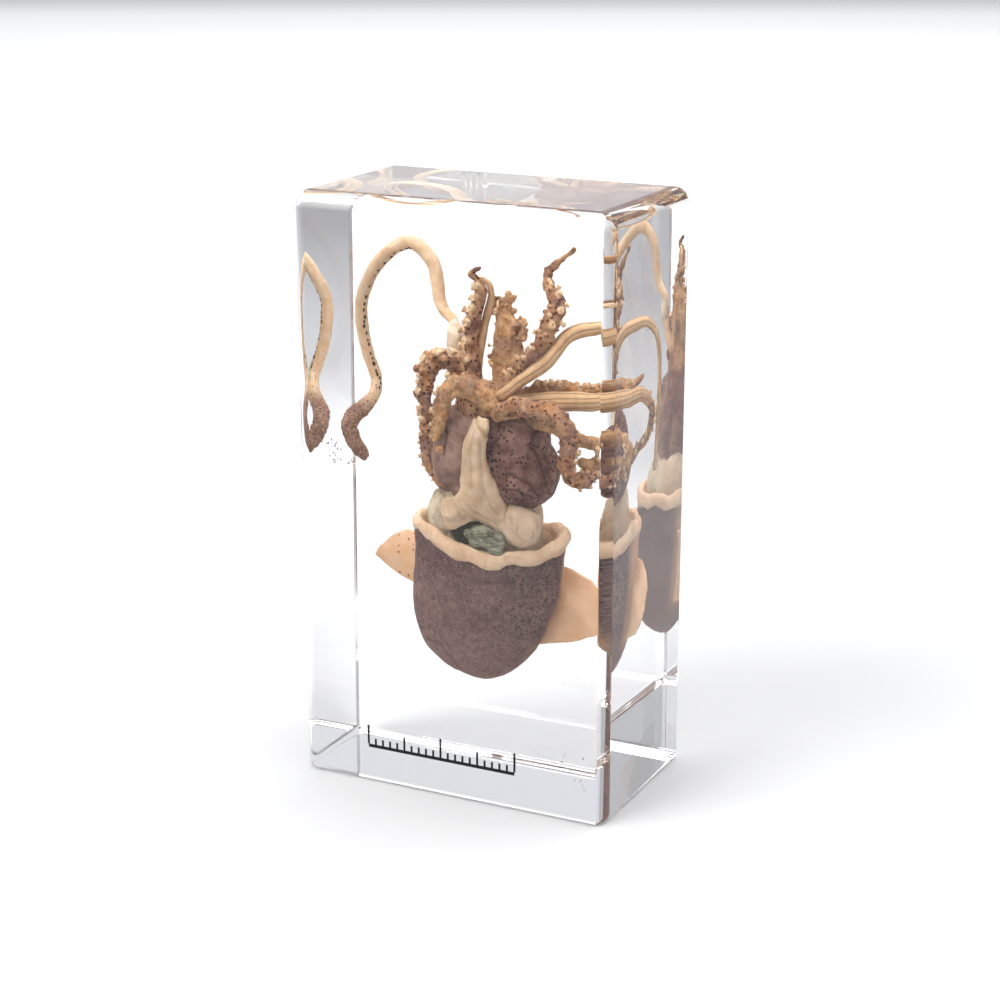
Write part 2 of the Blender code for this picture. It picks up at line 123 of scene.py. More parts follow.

# Creases lie in front of this y, and the core of the painted shade in them is this share of their width
GROOVED_FRONT = 1.0
CREASE_CORE = 0.45

# Folds on the funnel's tip and left side, as middle x, y, z and half sizes
FUNNEL_FOLDS = (
    (3.3, -6.6, 46.3, 0.7, 0.5, 0.8),
    (2.6, -6.5, 46.6, 0.7, 0.5, 1.0),
    (-2.0, -4.1, 35.1, 1.3, 0.9, 1.5),
)
FUNNEL_CREASES = (
    (((2.2, 47.6), (2.6, 46.2), (3.6, 45.2)), 0.20, 0.30),
    (((1.9, 45.4), (1.6, 42.4), (1.7, 38.6)), 0.28, 0.12),
    (((3.0, 44.6), (2.9, 41.4), (3.3, 38.0), (4.6, 35.4)), 0.30, 0.14),
    (((-0.6, 38.4), (-1.4, 36.6), (-0.4, 34.9)), 0.35, 0.22),
    (((0.9, 36.2), (2.4, 35.0), (4.4, 34.2)), 0.30, 0.14),
)

# How far the funnel's lower edge hangs below or rises above its last row, by x
FUNNEL_HEM = ((-3.8, -1.3), (-2.2, -1.6), (-0.9, -0.3), (0.5, 0.5), (1.9, 0.3), (3.4, -0.8), (5.6, -2.2))

# Lofted soft forms, as rows of height, middle x, middle y, half width, half depth
COLLAR_ROWS = (
    (27.5, 1.3, 1.8, 6.6, 4.9),
    (31.0, 1.3, 1.6, 7.2, 5.2),
    (34.0, 1.2, 1.5, 7.4, 5.3),
    (36.0, 1.5, 1.1, 6.9, 5.1),
    (38.5, 1.8, 0.6, 5.6, 4.4),
)
FUNNEL_ROWS = (
    (33.9, 0.9, -2.6, 4.7, 1.5),
    (35.4, 1.3, -3.5, 4.4, 1.8),
    (37.0, 1.9, -4.3, 3.4, 1.7),
    (38.8, 2.1, -4.9, 2.5, 1.5),
    (41.0, 1.9, -5.4, 1.9, 1.3),
    (43.7, 1.9, -5.9, 1.5, 1.1),
    (46.0, 2.5, -6.2, 1.3, 0.8),
    (47.3, 2.9, -6.4, 1.05, 0.5),
)

# Rounded masses, as middle x, y, z and half sizes along x, y, z
HEAD_MASSES = (
    (5.6, -0.4, 44.4, 4.3, 4.6, 4.2),
    (6.7, -0.4, 40.7, 4.5, 5.0, 4.5),
    (6.5, -0.9, 38.9, 4.2, 4.4, 2.8),
    (-1.6, -0.6, 42.2, 3.7, 4.6, 5.6),
    (-3.1, -0.9, 40.6, 2.6, 3.8, 3.8),
)
HEAD_CREASES = (
    (((4.4, 40.0), (6.6, 40.7), (8.6, 39.6), (9.6, 38.2)), 0.30, 0.35),
    (((9.2, 46.0), (8.6, 44.2), (9.8, 42.6), (10.4, 40.6)), 0.30, 0.40),
    (((4.6, 38.6), (7.2, 38.9), (9.0, 37.9)), 0.28, 0.25),
    (((-3.4, 46.6), (-2.2, 44.6), (-2.6, 42.2)), 0.30, 0.25),
)
NECK_ROWS = (
    (36.0, 1.5, 1.1, 6.4, 4.6),
    (38.5, 2.0, 0.5, 6.4, 4.9),
    (41.5, 2.3, 0.0, 6.2, 4.8),
    (45.0, 2.2, -0.4, 5.4, 4.4),
    (48.0, 2.0, -0.7, 3.9, 3.5),
)
CROWN_MASSES = (
    (2.0, -0.8, 48.0, 4.2, 3.7, 3.0),
)
COLLAR_BULGES = (
    (7.0, -2.8, 34.2, 2.7, 2.3, 2.7),
    (-3.7, -1.6, 34.0, 2.0, 2.4, 3.2),
)
VISCERA_LUMPS = (
    (0.8, -4.3, 32.5, 0.9, 0.7, 0.7),
    (1.6, -4.4, 31.7, 1.0, 0.7, 0.8),
    (2.6, -4.8, 33.1, 1.6, 0.8, 0.85),
    (3.3, -4.7, 31.8, 1.4, 0.8, 0.85),
    (4.2, -4.5, 30.9, 1.2, 0.8, 0.7),
    (4.7, -4.4, 32.3, 0.9, 0.7, 1.0),
)
SHEATH = (-3.0, 1.4, 55.2, 1.1, 1.05, 2.5)

# Fins: each is an outline of x, y, z corners, its root corners first and last
LEFT_FIN = (
    (-6.8, 5.0, 30.2), (-11.2, 5.8, 29.8), (-13.4, 6.1, 28.7), (-15.2, 6.0, 27.2),
    (-15.9, 5.9, 25.7), (-14.4, 5.8, 24.6), (-11.4, 5.6, 23.4), (-6.6, 4.6, 21.4),
)
RIGHT_FIN = (
    (7.0, 5.2, 28.8), (11.4, 5.6, 27.8), (14.3, 4.6, 27.1), (16.4, 3.6, 25.2),
    (16.9, 2.4, 22.6), (15.6, 2.0, 20.4), (12.0, 3.4, 18.9), (6.2, 4.4, 17.6),
)
FIN_ROOT_THICKNESS = 1.6
FIN_EDGE_THICKNESS = 0.7
FIN_ROOT_CORNERS = (0, -1)

# Arms and tentacles: each is a route of x, y, z and radius, from the crown to the tip
LONG_TENTACLE = (
    (-0.8, 0.4, 50.2, 0.9), (-2.2, 1.1, 52.4, 0.8), (-2.8, 1.5, 56.0, 0.6), (-3.4, 1.8, 57.5, 0.62),
    (-4.6, 2.0, 58.5, 0.72), (-5.3, 2.2, 60.0, 0.82), (-5.9, 2.5, 63.0, 0.87), (-7.2, 3.0, 65.0, 0.88),
    (-9.6, 3.8, 66.0, 0.86), (-12.6, 5.0, 64.9, 0.86), (-15.7, 6.8, 62.1, 0.86), (-17.8, 8.0, 58.3, 0.84),
    (-18.1, 8.2, 55.8, 0.84), (-17.8, 8.3, 53.4, 0.84), (-17.2, 8.4, 51.1, 0.82), (-16.3, 8.4, 48.7, 0.8),
    (-16.0, 8.0, 47.4, 0.8), (-16.3, 7.2, 45.9, 0.84), (-17.2, 6.0, 44.6, 0.95), (-18.2, 4.8, 43.6, 1.1),
    (-18.4, 3.7, 42.2, 1.1), (-17.6, 3.6, 40.4, 1.0), (-16.4, 3.9, 38.9, 0.75),
)
RIGHT_TENTACLE = (
    (4.0, -2.6, 49.2, 0.8), (5.4, -4.0, 50.4, 0.75), (7.0, -4.1, 51.7, 0.75), (8.7, -4.0, 53.0, 0.8),
    (10.5, -3.8, 54.4, 0.85), (11.6, -3.3, 56.0, 0.85), (12.5, -2.4, 57.3, 0.86), (13.7, -1.5, 58.1, 0.88),
    (15.2, -0.4, 58.4, 0.82), (17.2, 1.4, 58.5, 0.68), (18.5, 3.2, 57.0, 0.58), (18.7, 4.3, 54.0, 0.5),
    (18.5, 4.5, 49.0, 0.45), (18.2, 4.3, 44.0, 0.4), (17.8, 4.2, 40.0, 0.35),
)
SMOOTH_STRAND = (
    (0.6, 1.0, 48.8, 0.6), (0.3, 1.0, 50.3, 0.6), (0.2, 0.9, 51.9, 0.58), (0.5, 0.8, 54.3, 0.55),
    (1.1, 0.7, 57.1, 0.52), (1.7, 0.6, 59.3, 0.5), (2.1, 0.5, 61.1, 0.45), (1.9, 0.3, 62.3, 0.4),
    (1.2, 0.0, 62.9, 0.36), (0.7, -0.4, 62.9, 0.32),
)
RIGHT_LOOPED_STRAND = (
    (4.4, -1.4, 48.4, 1.1), (6.7, -1.6, 48.8, 1.1), (10.1, -2.3, 49.5, 1.2), (13.1, -2.4, 49.9, 1.2),
    (15.9, -2.0, 50.1, 1.1), (17.6, -0.2, 50.2, 0.95), (18.2, 1.8, 49.0, 0.8),
)
ARM_ROUTES = {
    "left_upright_arm": (
        (-0.2, 0.3, 48.4, 1.2), (-0.1, 0.3, 50.6, 1.2), (-0.2, 0.0, 52.9, 1.2), (-0.3, -0.2, 55.3, 1.1),
        (-0.1, -0.3, 58.1, 1.1), (0.8, -0.5, 60.4, 0.95), (1.0, -0.6, 62.2, 0.75), (0.6, -0.7, 63.0, 0.5),
        (-0.1, -0.8, 63.4, 0.36), (0.3, -0.9, 63.9, 0.3), (1.2, -1.0, 64.4, 0.26),
    ),
    "right_upright_arm": (
        (3.2, -1.3, 49.4, 1.2), (4.9, -1.3, 51.1, 1.2), (7.1, -2.2, 53.5, 1.25), (9.2, -3.0, 55.2, 1.3),
        (10.1, -3.4, 57.2, 1.3), (10.9, -3.4, 59.0, 1.28), (11.5, -2.8, 60.6, 1.2), (10.9, -1.9, 62.0, 1.0),
        (9.8, -1.2, 63.0, 0.78), (9.8, -0.9, 64.4, 0.6), (10.6, -0.8, 65.5, 0.45), (11.7, -0.8, 66.4, 0.34),
        (13.0, -0.8, 67.5, 0.26),
    ),
    "left_outer_arm": (
        (0.6, -0.8, 50.0, 1.1), (-1.1, -0.8, 51.6, 1.1), (-2.8, -1.6, 52.8, 1.15), (-4.4, -2.3, 52.9, 1.1),
        (-5.4, -2.7, 51.6, 1.05), (-5.6, -2.9, 49.7, 1.0), (-5.5, -3.0, 47.6, 1.0), (-5.2, -3.0, 45.6, 1.0),
        (-5.3, -3.0, 43.7, 1.0), (-5.4, -3.0, 41.7, 1.0), (-4.8, -3.0, 39.7, 0.9), (-3.4, -3.0, 38.1, 0.7),
    ),
    "left_front_arm": (
        (4.6, -3.6, 47.7, 1.2), (3.2, -4.4, 49.1, 1.4), (1.5, -5.0, 50.3, 1.5), (-0.4, -5.4, 50.7, 1.45),
        (-1.8, -5.6, 49.9, 1.3), (-2.4, -5.7, 48.5, 1.2), (-2.6, -5.6, 46.9, 1.1), (-3.2, -5.4, 45.2, 0.85),
        (-3.6, -5.3, 43.7, 0.5),
    ),
    "right_front_arm": (
        (4.3, -4.4, 47.8, 1.2), (6.1, -5.3, 48.6, 1.3), (8.3, -6.0, 49.2, 1.4), (10.9, -6.6, 49.1, 1.4),
        (13.2, -7.0, 48.3, 1.35), (14.4, -7.3, 46.7, 1.3), (14.3, -7.4, 44.8, 1.2), (14.1, -7.4, 43.0, 1.05),
        (14.8, -7.3, 41.6, 0.9), (16.2, -7.1, 41.3, 0.8), (17.6, -6.8, 42.2, 0.65),
    ),
    "right_thin_arm": (
        (5.0, -0.8, 49.6, 0.8), (7.2, -0.8, 50.1, 0.8), (9.3, -1.1, 50.8, 0.85), (11.0, -1.3, 51.1, 0.85),
        (13.2, -1.3, 51.3, 0.75), (15.4, -1.2, 51.4, 0.65), (17.6, 0.4, 52.3, 0.5),
    ),
    "right_looped_arm": (
        (17.6, -0.2, 50.2, 0.7), (18.2, 1.8, 49.0, 0.85), (18.0, 3.0, 46.8, 0.8), (17.6, 1.6, 44.6, 0.75),
        (16.8, -1.0, 43.4, 0.7), (15.8, -2.4, 42.0, 0.6), (14.9, -3.0, 41.0, 0.5), (15.8, -3.2, 40.1, 0.4),
    ),
    "right_inner_arm": (
        (8.0, -2.4, 47.4, 0.9), (11.6, -3.8, 46.7, 0.9), (13.7, -4.3, 46.1, 0.9), (15.6, -4.3, 45.7, 0.9),
        (17.0, -4.2, 45.6, 0.85), (18.0, -3.9, 44.8, 0.8), (17.7, -3.9, 43.5, 0.9), (16.4, -4.3, 42.9, 0.95),
        (15.2, -4.8, 43.2, 0.7),
    ),
    "broad_arm": (
        (3.6, 1.2, 48.2, 1.7), (3.8, 1.2, 50.7, 2.0), (3.9, 1.4, 52.7, 2.3), (3.9, 1.6, 55.0, 2.3),
        (3.8, 1.7, 56.9, 1.95), (3.5, 1.8, 58.4, 1.5), (3.3, 1.8, 59.8, 1.15), (3.3, 1.8, 60.4, 0.9),
    ),
}

# Clusters of small knobs: middle x, y, z, half sizes, count and knob size
KNOB_CLUSTERS = {
    "broad_arm": (
        (5.6, 1.0, 57.4, 1.0, 0.5, 1.25, 60, 0.30), (2.6, 1.6, 60.6, 0.5, 0.3, 0.4, 7, 0.34),
        (4.4, 1.6, 60.9, 0.5, 0.3, 0.5, 8, 0.34),
    ),
    "left_outer_arm": (
        (-4.3, -2.8, 53.2, 1.6, 0.7, 0.7, 26, 0.34), (-5.5, -3.1, 51.6, 0.8, 0.7, 0.8, 12, 0.36),
        (-6.7, -3.0, 51.9, 0.2, 0.2, 0.2, 6, 0.34), (-6.9, -3.0, 48.7, 0.3, 0.2, 0.2, 7, 0.34),
    ),
    "left_front_arm": ((-3.1, -5.0, 42.7, 0.2, 0.1, 0.2, 7, 0.34),),
    "right_thin_arm": ((10.6, -1.3, 51.2, 2.6, 0.6, 0.5, 40, 0.26),),
    "right_front_arm": ((16.0, -7.0, 41.6, 1.0, 0.6, 0.7, 16, 0.30),),
}

# Suckers: the side that they stand on, first and last share of the route, count, radius
SUCKER_RUNS = {
    "left_upright_arm": (((-1.0, -0.7, 0.0), 0.2, 0.66, 13, 0.62),),
    "right_upright_arm": (((-0.6, -0.5, 0.5), 0.1, 0.45, 10, 0.42), ((1.0, -0.5, 0.0), 0.42, 0.72, 9, 0.48)),
    "left_outer_arm": (((-1.0, -0.4, 0.5), 0.12, 0.62, 15, 0.62), ((-1.0, -0.4, 0.1), 0.64, 0.97, 8, 0.36)),
    "left_front_arm": (((-0.8, 0.1, 0.6), 0.45, 0.99, 9, 0.46),),
    "right_front_arm": (((0.7, 0.4, -0.6), 0.55, 0.99, 12, 0.42),),
    "right_thin_arm": (((0.0, -0.2, 1.0), 0.3, 0.85, 15, 0.34),),
    "right_looped_arm": (((0.4, 0.6, 0.6), 0.15, 0.98, 16, 0.42),),
    "right_inner_arm": (((-0.5, -0.6, -0.5), 0.55, 0.97, 7, 0.4),),
    "broad_arm": (((-0.6, -0.4, 0.8), 0.78, 0.99, 8, 0.4),),
}

# Small warts on each arm
CRUMB_COUNTS = {
    "left_upright_arm": 40, "right_upright_arm": 60, "left_outer_arm": 120, "left_front_arm": 24,
    "right_front_arm": 50, "right_thin_arm": 40, "right_inner_arm": 30, "broad_arm": 50,
}
BROAD_ARM_FLATNESS = 0.5
TAN_ARMS = ("broad_arm", "right_inner_arm", "right_thin_arm", "left_front_arm")
SUCKER_SPREAD = 0.55

# Loose flecks: low corner, high corner and count
SPECK_CLOUDS = (
    ((-19.6, 6.0, 36.6), (-17.6, 9.0, 39.6), 34),
    ((14.5, -10.5, 4.0), (18.0, -10.0, 9.0), 12),
)

# The long tentacle's row of dots, and where its specks and club start, as shares of its route
DOT_COUNT = 26
DOT_SPAN = (0.36, 0.74)
SPECKS_START = 0.6
CLUB_START = 0.76

# Mesh grain
CURVE_STEPS = 8
TUBE_SIDES = 20
LOFT_SIDES = 216
LOFT_STEPS = 10
ARM_VOXEL = 0.11
BODY_VOXEL = 0.16
SOFT_GRAIN = ((2.0, 0.2), (0.7, 0.08))


# Shapes

def smooth_rows(table, steps):
    """Rows on a smooth curve through the table's own rows, with several steps between each two."""
    rows = [Vector(row) for row in table]
    rows = [2 * rows[0] - rows[1]] + rows + [2 * rows[-1] - rows[-2]]
    curve = []
    for a, b, c, d in zip(rows, rows[1:], rows[2:], rows[3:]):
        for k in range(steps):
            t = k / steps
            curve.append(0.5 * (2 * b + (c - a) * t + (2 * a - 5 * b + 4 * c - d) * t * t
                                + (3 * b - a - 3 * c + d) * t * t * t))
    curve.append(rows[-2])
    return curve


def smooth_route(route):
    """Points and radii along an arm."""
    return [(row.to_3d(), row[3]) for row in smooth_rows(route, CURVE_STEPS)]


def spot(curve, i):
    """The point, radius and direction of one step of a curve."""
    point, radius = curve[i]
    return point, radius, (curve[i + 1][0] - point).normalized()


def turns(count):
    """Equal angles all the way round."""
    return [2 * math.pi * k / count for k in range(count)]


def square(direction, along):
    """The part of a direction that is square to another one, at length 1."""
    return (direction - along * direction.dot(along)).normalized()


def skin_rings(bm, rings, looped=False):
    """Skins a stack of equal rings of points, its ends closed or joined to each other."""
    stack = [[bm.verts.new(point * MM) for point in ring] for ring in rings]
    count = len(stack[0])
    for lower, upper in zip(stack, stack[1:] + stack[:looped]):
        for i in range(count):
            j = (i + 1) % count
            bm.faces.new((lower[i], lower[j], upper[j], upper[i]))
    if not looped:
        bm.faces.new(list(reversed(stack[0])))
        bm.faces.new(stack[-1])


def add_tube(bm, route, flatness=1.0):
    """A round or flattened tube along a route, with rounded ends."""
    curve = smooth_route(route)
    side = Vector((0.0, 1.0, 0.0))
    rings = []
    for i, (point, radius) in enumerate(curve):
        before = curve[max(i - 1, 0)][0]
        after = curve[min(i + 1, len(curve) - 1)][0]
        along = (after - before).normalized()
        side = square(side, along)
        across = along.cross(side)
        ring = [point + (across * math.cos(angle) + side * math.sin(angle) * flatness) * radius
                for angle in turns(TUBE_SIDES)]
        if i == 0:
            rings.append([point + (corner - point) * 0.6 - along * radius * 0.6 for corner in ring])
        rings.append(ring)
        if i == len(curve) - 1:
            rings.append([point + (corner - point) * 0.6 + along * radius * 0.6 for corner in ring])
    skin_rings(bm, rings)


def add_mass(bm, mass, rings=20, sides=32):
    """An egg-shaped mass."""
    x, y, z, half_x, half_y, half_z = mass
    stack = []
    for k in range(rings + 1):
        polar = math.pi * k / rings
        girth = max(math.sin(polar), 0.03)
        stack.append([Vector((x + half_x * girth * math.cos(turn), y + half_y * girth * math.sin(turn),
                              z - half_z * math.cos(polar))) for turn in turns(sides)])
    skin_rings(bm, stack)


def add_ball(bm, middle, radius, rings=6, sides=8):
    add_mass(bm, (*middle, radius, radius, radius), rings, sides)


def oval(height, middle_x, middle_y, half_width, half_depth, lift=lambda angle: 0.0):
    return [Vector((middle_x + half_width * math.cos(angle), middle_y + half_depth * math.sin(angle),
                    height + lift(angle))) for angle in turns(LOFT_SIDES)]


def rim_lift(angle):
    """The rim dips right of the middle of the front and waves a little all round."""
    wave = 0.16 * math.sin(5 * angle + 0.6) + 0.1 * math.sin(11 * angle)
    return wave - RIM_DIP * max(0.0, -math.sin(angle - RIM_TURN)) ** 2


def show(name, mesh, material):
    """Puts a mesh in the scene, smooth and in one material."""
    mesh.materials.clear()
    mesh.materials.append(material)
    mesh.shade_smooth()
    made = bpy.data.objects.new(name, mesh)
    bpy.context.scene.collection.objects.link(made)
    return made


def make_object(name, bm, material):
    mesh = bpy.data.meshes.new(name)
    bmesh.ops.recalc_face_normals(bm, faces=bm.faces[:])
    bm.to_mesh(mesh)
    bm.free()
    return show(name, mesh, material)


def fused(name, bm, voxel, material, smoothing=3):
    """One continuous skin around overlapping forms."""
    rough = make_object(name + "_forms", bm, material)
    remesh = rough.modifiers.new("fuse", "REMESH")
    remesh.mode = "VOXEL"
    remesh.voxel_size = voxel * MM
    smooth = rough.modifiers.new("soften", "SMOOTH")
    smooth.factor = 0.5
    smooth.iterations = smoothing
    evaluated = rough.evaluated_get(bpy.context.evaluated_depsgraph_get())
    mesh = bpy.data.meshes.new_from_object(evaluated)
    mesh.name = name
    bpy.data.objects.remove(rough, do_unlink=True)
    return show(name, mesh, material)


def read_skin(made):
    """Each vertex of a skin and its normal, in millimetres."""
    vertices = made.data.vertices
    places, normals = np.empty(len(vertices) * 3), np.empty(len(vertices) * 3)
    vertices.foreach_get("co", places)
    vertices.foreach_get("normal", normals)
    return places.reshape(-1, 3) / MM, normals.reshape(-1, 3)


def move_skin(made, places):
    made.data.vertices.foreach_set("co", (places * MM).ravel())
    made.data.update()


def write_mask(made, name, values):
    layer = made.data.attributes.new(name, "FLOAT", "POINT")
    layer.data.foreach_set("value", np.asarray(values, dtype=np.float32))


def groove(made, folds):
    """Presses creases into a skin and writes a painted shade mask along them: corners x, z on its front,
    width and depth in millimetres.
    """
    places, normals = read_skin(made)
    front = places[:, 1] < GROOVED_FRONT
    moves = np.zeros(len(places))
    dark = np.zeros(len(places))
    for corners, width, depth in folds:
        near = np.full(len(places), np.inf)
        for (x0, z0), (x1, z1) in zip(corners, corners[1:]):
            run_x, run_z = x1 - x0, z1 - z0
            share = ((places[:, 0] - x0) * run_x + (places[:, 2] - z0) * run_z) / (run_x ** 2 + run_z ** 2)
            share = np.clip(share, 0.0, 1.0)
            gap = np.hypot(places[:, 0] - x0 - share * run_x, places[:, 2] - z0 - share * run_z)
            near = np.minimum(near, gap)
        moves -= depth * np.exp(-(near / width) ** 2) * front
        # painted shade: a dark core along the creases, kept as a mask for the materials
        dark = np.maximum(dark, np.exp(-(near / (CREASE_CORE * width)) ** 2) * front)
    move_skin(made, places + normals * moves[:, None])
    write_mask(made, "crease_shade", dark)


def crumple(made, layers, seed=0.0, weights=1.0):
    """Moves a skin in and out by several grains of noise: size and height in millimetres."""
    places, normals = read_skin(made)
    offset = Vector((seed, seed * 1.7, seed * 0.3))
    moves = np.zeros(len(places))
    for size, height in layers:
        moves += height * np.array([noise.noise(Vector(place) / size + offset) for place in places])
    move_skin(made, places + normals * (moves * weights)[:, None])


# Materials

class Net:
    """A tree of nodes, with short names for the ones used here."""

    def __init__(self, tree):
        self.tree = tree

    def node(self, kind, inputs):
        """A node, its inputs given as links, numbers, points or colours."""
        made = self.tree.nodes.new(kind)
        for name, value in inputs.items():
            socket = made.inputs[name]
            if isinstance(value, bpy.types.NodeSocket):
                self.tree.links.new(value, socket)
            elif socket.type == "RGBA":
                socket.default_value = (*value, 1.0)
            else:
                socket.default_value = value
        return made

    def spread(self, value, low, high, out_low=0.0, out_high=1.0, smooth=False):
        ends = {"From Min": low, "From Max": high, "To Min": out_low, "To Max": out_high}
        node = self.node("ShaderNodeMapRange", {"Value": value, **ends})
        node.interpolation_type = "SMOOTHSTEP" if smooth else "LINEAR"
        return node.outputs["Result"]

    def maths(self, kind, a, b=0.0):
        node = self.node("ShaderNodeMath", {0: a, 1: b})
        node.operation = kind
        return node.outputs[0]

    def times(self, a, b):
        return self.maths("MULTIPLY", a, b)

    def mix(self, factor, a, b):
        node = self.node("ShaderNodeMix", {0: factor, 6: a, 7: b})
        node.data_type = "RGBA"
        return node.outputs[2]

    def axes(self, place):
        return self.node("ShaderNodeSeparateXYZ", {0: place}).outputs


class Shader(Net):
    """A Principled material, painted in coats."""

    def __init__(self, name, roughness=0.5, ior=1.12):
        self.material = bpy.data.materials.new(name)
        self.material.use_nodes = True
        super().__init__(self.material.node_tree)
        self.surface = self.tree.nodes["Principled BSDF"]
        self.set("Roughness", roughness)
        self.set("IOR", ior)
        self.set("Specular IOR Level", 0.12)
        self.place = self.tree.nodes.new("ShaderNodeTexCoord").outputs["Object"]

    def set(self, socket, value):
        self.surface.inputs[socket].default_value = value

    def stretched(self, x, y, z):
        return self.node("ShaderNodeMapping", {"Vector": self.place, "Scale": (x, y, z)}).outputs["Vector"]

    def noise(self, size, detail=3.0, roughness=0.55, place=None, distortion=0.0):
        """Noise with lumps of a size in millimetres."""
        grain = {"Detail": detail, "Roughness": roughness, "Distortion": distortion}
        where = {"Vector": place or self.place, "Scale": 1.0 / (size * MM)}
        return self.node("ShaderNodeTexNoise", {**where, **grain}).outputs["Fac"]

    def dots(self, cell, size, share):
        """Round dots: cell in millimetres, size and share from 0 to 1."""
        cells = self.node("ShaderNodeTexVoronoi", {"Vector": self.place, "Scale": 1.0 / (cell * MM)})
        near = self.spread(cells.outputs["Distance"], size, size * 0.55)
        split = self.node("ShaderNodeSeparateColor", {0: cells.outputs["Color"]})
        return self.times(near, self.spread(split.outputs[0], 1.0 - share, 1.0 - share + 0.02))

    def oval(self, x, z, middle, half):
        """From 0 in the middle of an oval on the front to 1 at its edge, its sizes in millimetres."""
        squares = []
        for axis, centre, reach in zip((x, z), middle, half):
            off = self.maths("DIVIDE", self.maths("SUBTRACT", axis, centre * MM), reach * MM)
            squares.append(self.times(off, off))
        return self.maths("ADD", *squares)

    def attribute(self, name):
        node = self.tree.nodes.new("ShaderNodeAttribute")
        node.attribute_name = name
        return node.outputs["Fac"]

    def base(self, pattern, low, high, first, last):
        """The first coat: one colour passes into another where a pattern runs from low to high."""
        self.colour = self.mix(self.spread(pattern, low, high), first, last)

    def tint(self, pattern, low, high, most, colour):
        """A coat that grows up to a share as a pattern runs from low to high."""
        self.colour = self.mix(self.spread(pattern, low, high, 0.0, most), self.colour, colour)

    def coat(self, mask, most, colour):
        """A coat where a mask says so, up to a share."""
        self.colour = self.mix(self.times(mask, most), self.colour, colour)

    def done(self, relief=None, depth=0.0, strength=0.6, soft=0.0, reach=0.6):
        """Joins the coats to the surface, with a relief and a reach of light under it in millimetres."""
        self.tree.links.new(self.colour, self.surface.inputs["Base Color"])
        if relief:
            self.raised(relief, depth, strength)
        if soft:
            self.set("Subsurface Weight", soft)
            self.set("Subsurface Radius", (1.0, 0.5, 0.35))
            self.set("Subsurface Scale", reach * MM)
        return self.material

    def raised(self, relief, depth, strength):
        bump = self.node("ShaderNodeBump", {"Strength": strength, "Distance": depth * MM, "Height": relief})
        self.tree.links.new(bump.outputs["Normal"], self.surface.inputs["Normal"])


def mantle_material():
    """Painted shade under the rim, pinker at the bottom, peach beside the right fin's root and inside the
    cup.
    """
    paint = Shader("mantle_skin", 0.42)
    x, y, z = paint.axes(paint.place)
    paint.base(paint.noise(3.5, 4.0), 0.35, 0.65, (0.128, 0.064, 0.055), (0.225, 0.125, 0.103))
    paint.tint(z, 20.0 * MM, 13.0 * MM, 0.6, (0.40, 0.225, 0.195))
    # painted shade: a darker band just under the rim
    paint.tint(z, 24.0 * MM, 30.0 * MM, 0.6, (0.075, 0.033, 0.036))
    mottle = paint.noise(0.9, 4.0, 0.7)
    paint.tint(mottle, 0.5, 0.68, 0.5, (0.060, 0.030, 0.036))
    paint.tint(mottle, 0.5, 0.34, 0.25, (0.36, 0.24, 0.21))
    speckle = paint.noise(0.17, 2.0, 0.6)
    paint.tint(speckle, 0.54, 0.62, 0.5, (0.035, 0.016, 0.022))
    paint.tint(speckle, 0.44, 0.36, 0.35, (0.46, 0.35, 0.31))
    right = paint.times(paint.spread(x, 0.0, 6.5 * MM), paint.spread(z, 16.0 * MM, 20.0 * MM))
    region = paint.times(right, paint.spread(paint.noise(4.0, 1.0), 0.38, 0.52))
    paint.coat(paint.times(paint.dots(0.5, 0.5, 0.75), region), 0.8, (0.030, 0.016, 0.022))
    streaks = paint.noise(0.5, 3.0, place=paint.stretched(1.0, 1.0, 0.15))
    paint.tint(streaks, 0.52, 0.72, 0.25, (0.36, 0.24, 0.21))
    root = paint.times(paint.spread(y, 1.5 * MM, 3.2 * MM), paint.spread(x, 4.0 * MM, 6.0 * MM))
    root = paint.times(root, paint.spread(z, 16.0 * MM, 18.5 * MM))
    root = paint.times(root, paint.spread(y, 6.6 * MM, 5.0 * MM))
    paint.coat(root, 0.85, (0.62, 0.36, 0.22))
    paint.coat(paint.attribute("inside"), 1.0, (0.74, 0.47, 0.28))
    # painted shade in the creases
    paint.coat(paint.attribute("crease_shade"), 0.55, (0.050, 0.022, 0.022))
    relief = paint.maths("ADD", mottle, paint.times(speckle, 0.35))
    return paint.done(relief, 0.25, 0.7, soft=0.06)


def cream_material(name, tint=(0.84, 0.64, 0.44), shade=(0.70, 0.45, 0.28)):
    paint = Shader(name, 0.38)
    paint.base(paint.noise(2.2, 4.0), 0.35, 0.68, shade, tint)
    streaks = paint.noise(0.6, 4.0, place=paint.stretched(1.0, 1.0, 0.3))
    paint.tint(streaks, 0.55, 0.8, 0.5, (0.44, 0.27, 0.18))
    # painted shade in the creases
    paint.coat(paint.attribute("crease_shade"), 0.3, (0.30, 0.19, 0.12))
    return paint.done(paint.noise(0.7, 6.0, 0.65), 0.35, 0.7, soft=0.15, reach=0.5)


def fin_material():
    """Peach with faint rays, and dark dots on the left fin alone."""
    paint = Shader("fin_skin", 0.4)
    x, y, z = paint.axes(paint.place)
    paint.base(paint.noise(3.0, 3.0), 0.3, 0.7, (0.68, 0.40, 0.215), (0.78, 0.53, 0.335))
    rays = paint.noise(0.9, 3.0, place=paint.stretched(0.3, 1.0, 1.3))
    paint.tint(rays, 0.5, 0.75, 0.35, (0.86, 0.67, 0.49))
    paint.coat(paint.dots(0.8, 0.26, 0.5), paint.spread(x, 2.0 * MM, -2.0 * MM), (0.25, 0.06, 0.04))
    return paint.done(paint.noise(0.5, 4.0), 0.08, 0.5, soft=0.35, reach=1.2)


